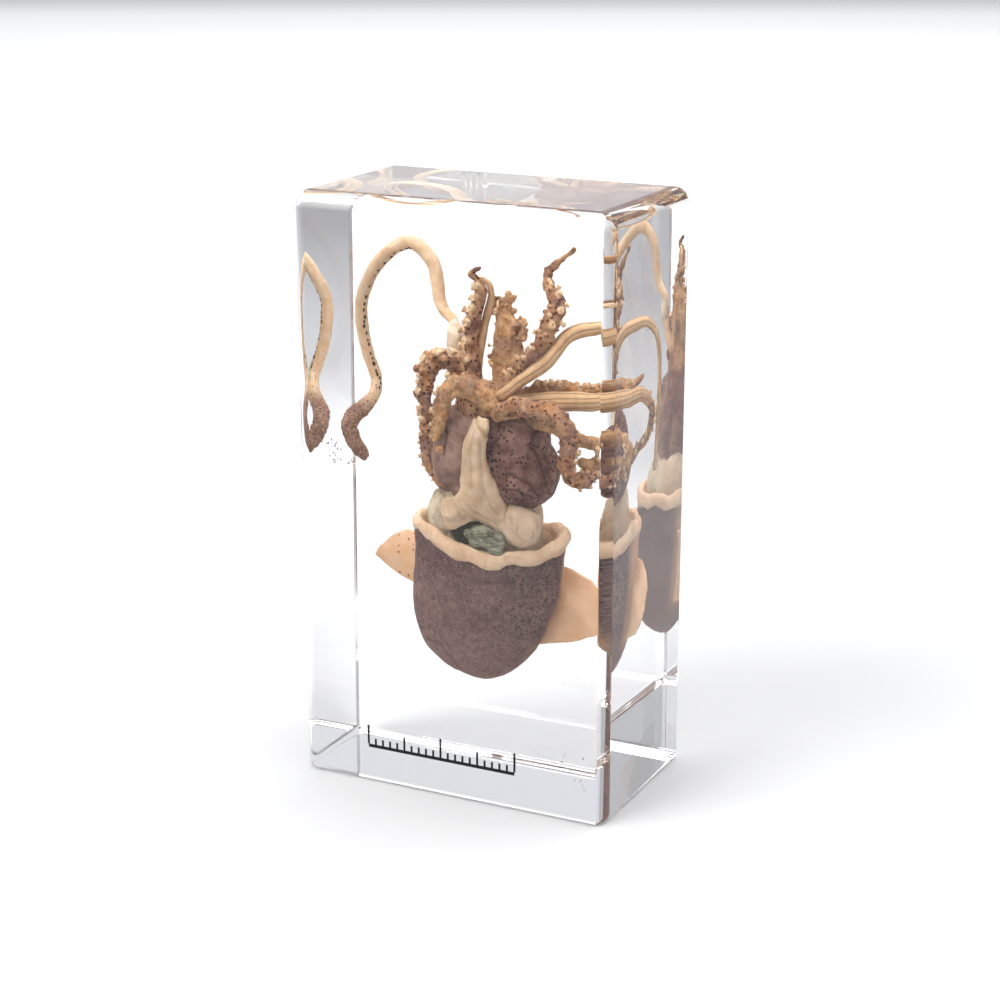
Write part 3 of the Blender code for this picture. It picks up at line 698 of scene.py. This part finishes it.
def collar_material():
    """Greyish folds on the left, a smooth light brown ball on the right, painted shade inside the opening.
    """
    paint = Shader("collar_skin", 0.36)
    x, y, z = paint.axes(paint.place)
    patches = paint.noise(2.0, 4.0)
    ball = paint.mix(paint.spread(patches, 0.3, 0.7), (0.54, 0.385, 0.26), (0.72, 0.55, 0.39))
    paint.base(patches, 0.32, 0.66, (0.46, 0.37, 0.26), (0.74, 0.62, 0.45))
    paint.tint(x, 2.5 * MM, 4.0 * MM, 1.0, ball)
    folds = paint.noise(0.8, 4.0, place=paint.stretched(1.4, 1.4, 0.5), distortion=0.6)
    paint.tint(folds, 0.52, 0.78, 0.5, (0.27, 0.20, 0.15))
    # painted shade: a dark oval over the opening under the funnel
    opening_shade = paint.spread(paint.oval(x, z, OPENING_SHADE[:2], OPENING_SHADE[2:]), 1.25, 0.85)
    paint.coat(opening_shade, paint.spread(y, 0.5 * MM, -0.5 * MM), (0.035, 0.028, 0.014))
    return paint.done(folds, 0.2, 0.5, soft=0.15)


def viscera_material():
    paint = Shader("viscera", 0.25)
    patches = paint.noise(1.3, 2.0, distortion=0.6)
    paint.base(patches, 0.36, 0.62, (0.125, 0.115, 0.075), (0.27, 0.265, 0.18))
    # striations on the lumps, whose pale tint is partly a painted highlight
    threads_and_highlight = paint.noise(0.42, 1.0, place=paint.stretched(0.22, 1.0, 1.2), distortion=0.15)
    paint.tint(threads_and_highlight, 0.53, 0.62, 0.45, (0.45, 0.43, 0.31))
    paint.tint(threads_and_highlight, 0.47, 0.38, 0.5, (0.075, 0.070, 0.045))
    return paint.done(threads_and_highlight, 0.15, 0.7)


def head_material():
    """Smooth mauve on the left lobe, dark and spotted on the right one."""
    paint = Shader("head_skin", 0.36)
    x, y, z = paint.axes(paint.place)
    wide = paint.spread(paint.noise(2.4, 4.0, distortion=0.3), 0.34, 0.66)
    left = paint.mix(wide, (0.200, 0.110, 0.085), (0.41, 0.262, 0.200))
    right = paint.mix(wide, (0.120, 0.052, 0.040), (0.315, 0.175, 0.135))
    paint.base(x, 1.0 * MM, 2.6 * MM, left, right)
    veins = paint.noise(0.8, 5.0, 0.65, distortion=0.7)
    paint.tint(veins, 0.53, 0.72, 0.55, (0.060, 0.025, 0.024))
    paint.tint(veins, 0.46, 0.30, 0.35, (0.44, 0.30, 0.26))
    dense = paint.spread(paint.oval(x, z, (4.4, 43.4), (2.8, 3.3)), 1.2, 0.7)
    patches = paint.spread(paint.noise(2.6, 2.0), 0.44, 0.52)
    scattered = paint.times(patches, paint.spread(x, 1.0 * MM, 2.6 * MM))
    dots = paint.times(paint.dots(0.5, 0.46, 0.8), paint.maths("MAXIMUM", dense, scattered))
    paint.coat(dots, 0.9, (0.030, 0.008, 0.010))
    # painted shade in the creases
    paint.coat(paint.attribute("crease_shade"), 0.7, (0.040, 0.014, 0.012))
    return paint.done(veins, 0.3, 0.7, soft=0.06)


def arm_material(name="arm_skin", dark=(0.27, 0.125, 0.066), pale=(0.62, 0.365, 0.20), dotted=0.9):
    """Patched and dotted brown, with paler suckers and painted shade in their cups."""
    paint = Shader(name, 0.38)
    paint.base(paint.noise(1.5, 4.0), 0.36, 0.64, dark, pale)
    paint.tint(paint.noise(3.6, 3.0), 0.48, 0.64, 0.6, (0.19, 0.105, 0.10))
    paint.tint(paint.noise(2.3, 3.0), 0.55, 0.68, 0.6, (0.62, 0.27, 0.11))
    grain = paint.noise(0.3, 3.0)
    paint.tint(grain, 0.55, 0.75, 0.5, tuple(c * 0.5 for c in dark))
    paint.coat(paint.dots(0.6, 0.42, 0.7), dotted, (0.075, 0.018, 0.014))
    rings = paint.mix(paint.spread(grain, 0.4, 0.65), (0.84, 0.62, 0.40), (0.62, 0.38, 0.21))
    paint.coat(paint.attribute("sucker"), 1.0, rings)
    # painted shade in the middle of each sucker's cup
    paint.coat(paint.attribute("cup"), 1.0, (0.50, 0.27, 0.14))
    return paint.done(paint.noise(0.4, 5.0, 0.65), 0.25, 0.8, soft=0.1, reach=0.4)


def tentacle_material():
    """Pale peach, brown and rough at the club, with a row of dark dots on the inner side."""
    paint = Shader("tentacle_skin", 0.36)
    paint.base(paint.noise(1.2, 3.0), 0.3, 0.7, (0.74, 0.48, 0.28), (0.86, 0.66, 0.46))
    grain = paint.spread(paint.noise(0.25, 4.0), 0.35, 0.65)
    rough = paint.mix(grain, (0.20, 0.11, 0.075), (0.46, 0.28, 0.20))
    paint.coat(paint.attribute("club"), 1.0, rough)
    paint.coat(paint.dots(0.4, 0.35, 0.5), paint.attribute("specks"), (0.12, 0.06, 0.045))
    paint.coat(paint.attribute("dots"), 1.0, (0.045, 0.018, 0.016))
    return paint.done(paint.noise(0.3, 4.0, 0.6), 0.08, 0.6, soft=0.25, reach=0.7)


def strand_material():
    """Smooth tan strands with fine stripes along them written on the mesh, pressed in as grooves and
    darkened in them as painted shade.
    """
    paint = Shader("strand_skin", 0.34)
    paint.base(paint.noise(1.2, 3.0), 0.3, 0.7, (0.58, 0.35, 0.18), (0.72, 0.49, 0.29))
    grooves_and_shade = paint.attribute("stripes")
    # painted shade: the stripes that are pressed in as grooves are darkened
    paint.tint(grooves_and_shade, 0.75, 1.0, 0.75, (0.24, 0.15, 0.09))
    return paint.done(paint.spread(grooves_and_shade, 0.4, 1.0, 1.0, 0.0), 0.12, 0.6, soft=0.15, reach=0.5)


def acrylic_material():
    """Clear cast acrylic with the faintest waviness from polishing."""
    paint = Shader("clear_acrylic", 0.0, ACRYLIC_IOR)
    paint.set("Specular IOR Level", 0.5)
    paint.set("Base Color", (1.0, 1.0, 1.0, 1.0))
    paint.set("Transmission Weight", 1.0)
    paint.raised(paint.noise(6.0, 1.0), 0.004, 0.3)
    return paint.material


def ink_material():
    paint = Shader("printed_ink", 0.55, 1.5)
    paint.base(paint.noise(0.15, 2.0), 0.0, 1.0, (0.004, 0.004, 0.005), (0.016, 0.016, 0.018))
    return paint.done()


def speck_material():
    paint = Shader("specks", 0.7)
    paint.base(paint.noise(0.4, 2.0), 0.0, 1.0, (0.03, 0.03, 0.035), (0.16, 0.15, 0.15))
    return paint.done()


# The pieces

def settle(piece, *nodes, slot="skin"):
    """Ties a piece to the frame."""
    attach(piece, "root")
    if nodes:
        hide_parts(*nodes)
    return piece


def plan_ring(inset, height):
    """The block's outline in plan, drawn in by an inset, its edges rounded or facetted."""
    ring = []
    for side_x, side_y, run_x, run_y, roundness in UPRIGHT_EDGES:
        corner_x, corner_y = BLOCK_WIDTH / 2 - inset, BLOCK_DEPTH / 2 - inset
        run_x, run_y = max(run_x - inset, 0.15), max(run_y - inset, 0.15)
        points = [(corner_x - run_x - FACE_INSET, corner_y)]
        for k in range(EDGE_STEPS + 1):
            share = k / EDGE_STEPS
            turn = share * math.pi / 2
            left_x = (1 - share) + (share - math.sin(turn)) * roundness
            left_y = share + (1 - math.cos(turn) - share) * roundness
            points.append((corner_x - run_x * left_x, corner_y - run_y * left_y))
        points.append((corner_x, corner_y - run_y - FACE_INSET))
        if side_x * side_y > 0:
            points.reverse()
        ring += [Vector((side_x * x, side_y * y, height)) for x, y in points]
    return ring


def make_block():
    quarter = [k / EDGE_STEPS * math.pi / 2 for k in range(EDGE_STEPS + 1)]
    arc = [(1 - math.sin(turn), 1 - math.cos(turn)) for turn in quarter]
    rings = [plan_ring(FOOT_EDGE_RADIUS + FACE_INSET, 0.0)]
    rings += [plan_ring(FOOT_EDGE_RADIUS * a, FOOT_EDGE_RADIUS * b) for a, b in arc]
    rings.append(plan_ring(0.0, FOOT_EDGE_RADIUS + FACE_INSET))
    rings.append(plan_ring(0.0, BLOCK_HEIGHT - UPPER_EDGE_RADIUS - FACE_INSET))
    rings += [plan_ring(UPPER_EDGE_RADIUS * b, BLOCK_HEIGHT - UPPER_EDGE_RADIUS * a) for a, b in arc]
    rings.append(plan_ring(UPPER_EDGE_RADIUS + FACE_INSET, BLOCK_HEIGHT))
    bm = bmesh.new()
    skin_rings(bm, rings)
    block = make_object("acrylic_block", bm, acrylic_material())
    settle(block, "block_front", "block_back", slot="clear_acrylic")


def make_mantle():
    bm = bmesh.new()
    top, x, y, a, b = MANTLE_ROWS[-1]
    rings = [oval(*row) for row in smooth_rows(MANTLE_ROWS[:-1], LOFT_STEPS)]
    below = MANTLE_ROWS[-2]
    for k in range(RIM_STEPS):
        share = (k + 1) / RIM_STEPS
        row = [p + (q - p) * share for p, q in zip(below, MANTLE_ROWS[-1])]
        rings.append(oval(*row, lift=lambda angle: rim_lift(angle) * share ** 2))
    outer = len(rings)
    for share in (0.3, 0.7, 1.0):
        rings.append(oval(top, x, y, a - MANTLE_WALL * share, b - MANTLE_WALL * share, rim_lift))
    for height in (31.0, 30.0, 29.2, CUP_FLOOR):
        rings.append(oval(height, x, y, a - MANTLE_WALL, b - MANTLE_WALL))
    skin_rings(bm, rings)
    mantle = make_object("mantle", bm, mantle_material())
    write_mask(mantle, "inside", np.repeat(np.arange(len(rings)) >= outer, LOFT_SIDES).astype(float))
    crumple(mantle, ((6.0, 0.4), (2.0, 0.14), (0.8, 0.05)), seed=3.0)
    groove(mantle, MANTLE_FOLDS)
    settle(mantle, "cuttlefish")


def make_rim(around=220, about=28):
    """The cup's thick turned edge, a ring that swells and thins on its way round."""
    bm = bmesh.new()
    height, x, y, a, b = MANTLE_ROWS[-1]
    rings = []
    for angle in turns(around):
        middle = Vector((x + (a - RIM_INSET) * math.cos(angle), y + (b - RIM_INSET) * math.sin(angle),
                         height + rim_lift(angle)))
        outward = Vector((math.cos(angle) / a, math.sin(angle) / b, 0.0)).normalized()
        swell = 1.0 + 0.12 * math.sin(3 * angle + 1.0) + 0.06 * math.sin(13 * angle)
        thickness = outward * RIM_THICKNESS * swell
        upward = Vector((0.0, 0.0, RIM_HEIGHT * swell))
        rings.append([middle + thickness * math.cos(turn) + upward * math.sin(turn)
                      for turn in turns(about)])
    skin_rings(bm, rings, looped=True)
    rim = make_object("mantle_rim", bm, cream_material("rim_skin"))
    crumple(rim, ((2.5, 0.25), (0.9, 0.12)), seed=8.0)
    settle(rim, "cuttlefish")


def make_fin(name, outline, material):
    """A flap that is thickest at its root and thins out to its edge."""
    bm = bmesh.new()
    corners = [Vector(corner) for corner in outline]
    middle = sum(corners, Vector()) / len(corners)
    halves = [FIN_EDGE_THICKNESS / 2] * len(corners)
    for k in FIN_ROOT_CORNERS:
        halves[k] = FIN_ROOT_THICKNESS / 2
    sides = []
    for sign in (-1.0, 1.0):
        ring = [bm.verts.new((corner + Vector((0.0, sign * half, 0.0))) * MM)
                for corner, half in zip(corners, halves)]
        centre = bm.verts.new((middle + Vector((0.0, sign * FIN_ROOT_THICKNESS / 2, 0.0))) * MM)
        sides.append((ring, centre))
    (front, front_centre), (back, back_centre) = sides
    for i in range(len(front)):
        j = (i + 1) % len(front)
        bm.faces.new((front[i], front[j], front_centre))
        bm.faces.new((back[j], back[i], back_centre))
        bm.faces.new((front[j], front[i], back[i], back[j]))
    fin = fused(name, bm, 0.2, material, smoothing=14)
    crumple(fin, ((4.0, 0.3), (1.5, 0.1)), seed=5.0)
    settle(fin, "cuttlefish")


def make_soft_form(name, material, lofts, masses, voxel=BODY_VOXEL, layers=SOFT_GRAIN, seed=1.0,
                   smoothing=4):
    bm = bmesh.new()
    for rows in lofts:
        skin_rings(bm, [oval(*row) for row in smooth_rows(rows, LOFT_STEPS)])
    for mass in masses:
        add_mass(bm, mass)
    form = fused(name, bm, voxel, material, smoothing)
    crumple(form, layers, seed)
    return settle(form, "cuttlefish")


def sucker_places(route, runs, rng):
    """Foot, outward direction and radius of each sucker, in two staggered rows."""
    places = []
    curve = smooth_route(route)
    for side, first, last, count, size in runs:
        for k in range(count):
            share = first + (last - first) * (k + rng.uniform(-0.3, 0.3)) / (count - 1)
            i = max(0, min(int(share * (len(curve) - 1)), len(curve) - 2))
            point, radius, along = spot(curve, i)
            outward = square(Vector(side), along)
            lean = (SUCKER_SPREAD if k % 2 else -SUCKER_SPREAD) * rng.uniform(0.6, 1.4)
            outward = (outward + along.cross(outward) * lean).normalized()
            shrink = size * (1.0 - 0.35 * k / count) * rng.uniform(0.75, 1.12)
            places.append((point, outward, radius, shrink))
    return places


def add_ring(bm, middle, normal, major, minor, around=12, about=8):
    """A small torus."""
    side = normal.orthogonal().normalized()
    other = normal.cross(side)
    rings = []
    for turn in turns(around):
        spoke = side * math.cos(turn) + other * math.sin(turn)
        rings.append([middle + spoke * (major + minor * math.cos(roll)) + normal * minor * math.sin(roll)
                      for roll in turns(about)])
    skin_rings(bm, rings, looped=True)


def add_sucker(bm, point, outward, radius, size):
    """A short stalk with a bell and a ring that leaves a cup in its middle."""
    add_ball(bm, point + outward * (radius + size * 0.05), size * 0.55, 6, 10)
    add_ball(bm, point + outward * (radius + size * 0.45), size * 0.72, 8, 12)
    middle = point + outward * (radius + size * 0.85)
    add_ring(bm, middle, outward, size * 0.66, size * 0.3)
    return middle


def add_crumbs(bm, route, count, rng, flatness):
    """Small warts all over an arm."""
    curve = smooth_route(route)
    for k in range(count):
        point, radius, along = spot(curve, int((0.12 + 0.86 * rng.random()) * (len(curve) - 2)))
        away = Vector((rng.uniform(-1, 1), rng.uniform(-1, 1) * flatness, rng.uniform(-1, 1)))
        outward = square(away, along)
        size = rng.uniform(0.14, 0.30) * min(1.0, radius)
        reach = radius * (flatness + (1.0 - flatness) * abs(outward.x))
        add_ball(bm, point + outward * (reach + size * 0.1), size)


def make_arm(name, route, runs, material, flatness=1.0, seed=0.0):
    rng = random.Random(name)
    bm = bmesh.new()
    add_tube(bm, [(x, y, z, radius * ARM_SLIMNESS) for x, y, z, radius in route], flatness)
    cups = []
    for point, outward, radius, size in sucker_places(route, runs, rng):
        cups.append((add_sucker(bm, point, outward, radius * 0.94, size), outward, size))
    add_crumbs(bm, route, CRUMB_COUNTS.get(name, 0), rng, flatness)
    for x, y, z, half_x, half_y, half_z, count, size in KNOB_CLUSTERS.get(name, ()):
        for k in range(count):
            away = Vector([rng.gauss(0.0, 1.0) for axis in range(3)]).normalized()
            knob = size * rng.uniform(0.7, 1.3)
            add_ball(bm, (x + away.x * half_x, y + away.y * half_y, z + away.z * half_z), knob)
    arm = fused(name, bm, ARM_VOXEL, material, 1)
    places, normals = read_skin(arm)
    mask = np.zeros(len(places))
    cup_shade = np.zeros(len(places))
    for middle, outward, size in cups:
        reach = np.linalg.norm(places - np.array(middle - outward * size * 0.35), axis=1) / size
        mask = np.maximum(mask, np.clip((1.3 - reach) / 0.25, 0.0, 1.0))
        # mask for the painted shade in each cup
        core = np.linalg.norm(places - np.array(middle - outward * size * 0.1), axis=1) / size
        cup_shade = np.maximum(cup_shade, np.clip((0.5 - core) / 0.2, 0.0, 1.0))
    crumple(arm, ((1.3, 0.30), (0.55, 0.14)), seed, 1.0 - 0.7 * mask)
    write_mask(arm, "sucker", mask)
    write_mask(arm, "cup", cup_shade)
    settle(arm, "cuttlefish")


def route_shares(places, curve):
    """How far along a route each point lies, from 0 to 1."""
    middles = np.array([point for point, radius in curve])
    shares = np.empty(len(places))
    for start in range(0, len(places), 4000):
        part = places[start:start + 4000]
        gaps = ((part[:, None, :] - middles[None, :, :]) ** 2).sum(axis=2)
        shares[start:start + 4000] = np.argmin(gaps, axis=1) / (len(middles) - 1)
    return shares


def make_tentacle():
    rng = random.Random(11)
    bm = bmesh.new()
    add_tube(bm, LONG_TENTACLE)
    tentacle = fused("long_tentacle", bm, 0.09, tentacle_material(), 2)
    places, normals = read_skin(tentacle)
    curve = smooth_route(LONG_TENTACLE)
    shares = route_shares(places, curve)
    club = np.clip((shares - CLUB_START) / 0.08, 0.0, 1.0)
    crumple(tentacle, ((1.5, 0.12), (0.4, 0.05)), 2.0)
    crumple(tentacle, ((0.5, 0.16), (0.25, 0.1)), 5.0, club)
    write_mask(tentacle, "club", club)
    write_mask(tentacle, "specks", np.clip((shares - SPECKS_START) / 0.12, 0.0, 1.0))
    dots = np.zeros(len(places))
    first, last = DOT_SPAN
    for k in range(DOT_COUNT):
        share = first + (last - first) * (k + rng.uniform(-0.25, 0.25)) / (DOT_COUNT - 1)
        point, radius, along = spot(curve, int(share * (len(curve) - 1)))
        inward = square(Vector((0.75 + rng.uniform(-0.2, 0.2), -0.65, -0.35)), along)
        offset = places - np.array(point + inward * radius)
        lengthwise = offset @ np.array(along)
        across = np.sqrt(np.maximum((offset ** 2).sum(axis=1) - lengthwise ** 2, 0.0))
        size = rng.uniform(0.75, 1.15)
        reach = np.sqrt((lengthwise / (0.27 * size)) ** 2 + (across / (0.16 * size)) ** 2)
        dots = np.maximum(dots, np.clip((1.15 - reach) / 0.3, 0.0, 1.0))
    write_mask(tentacle, "dots", dots)
    settle(tentacle, "cuttlefish")


def make_strand(name, route, material, seed, stripes):
    """A smooth strand, with stripes written along its length for its grooves and their painted shade."""
    bm = bmesh.new()
    add_tube(bm, route)
    strand = fused(name, bm, ARM_VOXEL, material, 2)
    places, normals = read_skin(strand)
    curve = smooth_route(route)
    last = len(curve) - 1
    indices = np.clip((route_shares(places, curve) * last).round().astype(int), 0, last - 1)
    ups = []
    for point, radius, along in (spot(curve, i) for i in range(last)):
        ups.append((*square(Vector((-0.3, 0.0, 1.0)), along), *point, radius))
    ups = np.array(ups)[indices]
    height = ((places - ups[:, 3:6]) * ups[:, :3]).sum(axis=1) / ups[:, 6]
    write_mask(strand, "stripes", 0.5 + 0.5 * np.sin(height * stripes + seed))
    crumple(strand, ((1.5, 0.08),), seed)
    settle(strand, "cuttlefish")


def make_funnel():
    """A flattened cone with a folded tip and an arched lower edge."""
    bm = bmesh.new()
    hem_x, lift = zip(*FUNNEL_HEM)
    rings = []
    for k, row in enumerate(smooth_rows(FUNNEL_ROWS, LOFT_STEPS)):
        hang = max(0.0, 1.0 - k / (1.6 * LOFT_STEPS)) ** 1.5
        rings.append([point + Vector((0.0, 0.0, hang * np.interp(point.x, hem_x, lift)))
                      for point in oval(*row)])
    skin_rings(bm, rings)
    for mass in FUNNEL_FOLDS:
        add_mass(bm, mass)
    skin = cream_material("funnel_skin", (0.78, 0.60, 0.41), (0.62, 0.43, 0.27))
    funnel = fused("funnel", bm, 0.13, skin)
    crumple(funnel, ((2.4, 0.25), (0.9, 0.09)), 6.0)
    groove(funnel, FUNNEL_CREASES)
    settle(funnel, "cuttlefish")


def make_specks():
    """Loose flecks cast in beside the club and at the foot."""
    rng = random.Random(4)
    bm = bmesh.new()
    for low, high, count in SPECK_CLOUDS:
        for k in range(count):
            middle = [rng.uniform(a, b) for a, b in zip(low, high)]
            size = rng.uniform(0.03, 0.08)
            add_mass(bm, (*middle, size, size, size * rng.uniform(1.0, 2.5)), 6, 8)
    specks = make_object("specks", bm, speck_material())
    settle(specks)


def make_print():
    """A plain ruled scale of twenty millimetres printed low on the front."""
    bm = bmesh.new()
    left, foot, line, length = -11.0, 4.6, 0.42, 20
    face = -BLOCK_DEPTH / 2

    def bar(x0, x1, z0, z1):
        place = Matrix.Translation(Vector(((x0 + x1) / 2, face - 0.01, (z0 + z1) / 2)) * MM)
        scale = Matrix.Diagonal(((x1 - x0) * MM, 0.02 * MM, (z1 - z0) * MM, 1.0))
        bmesh.ops.create_cube(bm, size=1.0, matrix=place @ scale)

    bar(left, left + length, foot, foot + line)
    for k in range(length + 1):
        tall = 2.9 if k % 10 == 0 else 2.1 if k % 5 == 0 else 1.2
        x = left + k
        bar(x - line / 3, x + line / 3, foot + line + 0.01, foot + tall)
    scale = make_object("printed_scale", bm, ink_material())
    scale.data.shade_flat()
    settle(scale, slot="clear_acrylic")


def make_animal():
    make_mantle()
    make_rim()
    fin = fin_material()
    make_fin("left_fin", LEFT_FIN, fin)
    make_fin("right_fin", RIGHT_FIN, fin)
    make_soft_form("collar", collar_material(), (COLLAR_ROWS,), COLLAR_BULGES,
                   layers=((2.5, 0.35), (0.9, 0.15)))
    make_funnel()
    make_soft_form("viscera", viscera_material(), (), VISCERA_LUMPS, voxel=0.1,
                   layers=((0.8, 0.12),), smoothing=1)
    head = make_soft_form("head", head_material(), (NECK_ROWS,), HEAD_MASSES, seed=2.0,
                          layers=((3.0, 0.35), (1.0, 0.12), (0.5, 0.05)))
    groove(head, HEAD_CREASES)
    skin = arm_material()
    make_soft_form("crown", skin, (), CROWN_MASSES, seed=7.0)
    tan = arm_material("tan_arm_skin", (0.42, 0.215, 0.095), (0.70, 0.43, 0.225), 0.4)
    for k, (name, route) in enumerate(ARM_ROUTES.items()):
        flatness = BROAD_ARM_FLATNESS if name == "broad_arm" else 1.0
        skin_here = tan if name in TAN_ARMS else skin
        make_arm(name, route, SUCKER_RUNS[name], skin_here, flatness, seed=k * 3.1)
    make_tentacle()
    strand = strand_material()
    make_strand("right_looped_arm_back", RIGHT_LOOPED_STRAND, strand, 3.0, 13.0)
    make_strand("right_tentacle", RIGHT_TENTACLE, strand, 2.2, 6.5)
    make_strand("smooth_strand", SMOOTH_STRAND, strand, -0.5, 1.0)
    pale = cream_material("sheath_skin", (0.88, 0.76, 0.60), (0.74, 0.58, 0.43))
    make_soft_form("tentacle_sheath", pale, (), (SHEATH,), voxel=0.12, layers=((1.0, 0.12),), seed=9.0)


def aim(name, data, place, target):
    """A camera or lamp at a place, turned to a target, both in metres."""
    made = bpy.data.objects.new(name, data)
    made.location = place
    made.rotation_euler = (Vector(target) - Vector(place)).to_track_quat("-Z", "Y").to_euler()
    bpy.context.scene.collection.objects.link(made)
    return made


def make_camera():
    data = bpy.data.cameras.new("camera")
    data.sensor_width = 36.0
    data.lens = CAMERA_LENS
    data.clip_start = 0.01
    bpy.context.scene.camera = aim("camera", data, Vector(CAMERA_PLACE) * MM, Vector(CAMERA_TARGET) * MM)


def make_world():
    """A pale surround, greyer on the camera's side, over a dark horizon with a white window."""
    world = bpy.data.worlds.new("studio")
    world.use_nodes = True
    net = Net(world.node_tree)
    place = net.tree.nodes.new("ShaderNodeTexCoord").outputs["Generated"]
    x, y, z = net.axes(place)
    upper = net.mix(net.spread(y, *ROOM_TO_SKY, smooth=True), ROOM_GREY, SKY_GREY)
    facing = net.node("ShaderNodeVectorMath", {0: place, 1: WINDOW_SIDE})
    facing.operation = "DOT_PRODUCT"
    window = net.spread(facing.outputs["Value"], *WINDOW_EDGE, smooth=True)
    lower = net.mix(window, HORIZON_GREY, WINDOW_WHITE)
    colour = net.mix(net.spread(z, *HORIZON_BAND, smooth=True), lower, upper)
    net.tree.links.new(colour, net.tree.nodes["Background"].inputs["Color"])
    bpy.context.scene.world = world


def make_floor():
    """A white sheet that widens behind the block, and turns grey on both sides and far behind."""
    bm = bmesh.new()
    bmesh.ops.create_grid(bm, x_segments=1, y_segments=1, size=FLOOR_REACH)
    paint = Shader("floor", 0.7)
    x, y, z = paint.axes(paint.place)
    paint.base(paint.noise(40.0, 2.0), 0.0, 1.0, tuple(c * 0.985 for c in FLOOR_NEAR), FLOOR_NEAR)
    paint.tint(y, 0.12, 0.8, 1.0, FLOOR_WHITE)
    turn_x, turn_y = WEDGE_TURN
    across = paint.maths("ADD", paint.times(x, turn_x), paint.times(y, turn_y))
    back = paint.maths("SUBTRACT", paint.times(y, turn_x), paint.times(x, turn_y))
    wedge = paint.maths("SUBTRACT", paint.maths("ABSOLUTE", across), paint.times(back, WEDGE_SLOPE))
    paint.tint(wedge, 0.085, 0.135, 1.0, FLOOR_GREY)
    far = paint.maths("MAXIMUM", paint.spread(wedge, 0.16, 0.26), paint.spread(back, 1.15, 1.5))
    paint.coat(far, 1.0, FLOOR_DARK)
    floor = make_object("floor", bm, paint.done())
    floor.location = (0.0, 0.0, -FLOOR_GAP)


def make_lamps():
    for name, place, size, power in LAMPS:
        light = bpy.data.lights.new(name, "AREA")
        light.size = size
        light.energy = power
        aim(name, light, place, LAMP_TARGET)


def make_studio():
    scene = bpy.context.scene
    scene.view_settings.view_transform = "Standard"
    scene.cycles.max_bounces = 24
    scene.cycles.glossy_bounces = 16
    scene.cycles.transmission_bounces = 24
    make_world()
    make_floor()
    make_lamps()


make_camera()
make_studio()
make_block()
make_animal()
make_specks()
make_print()
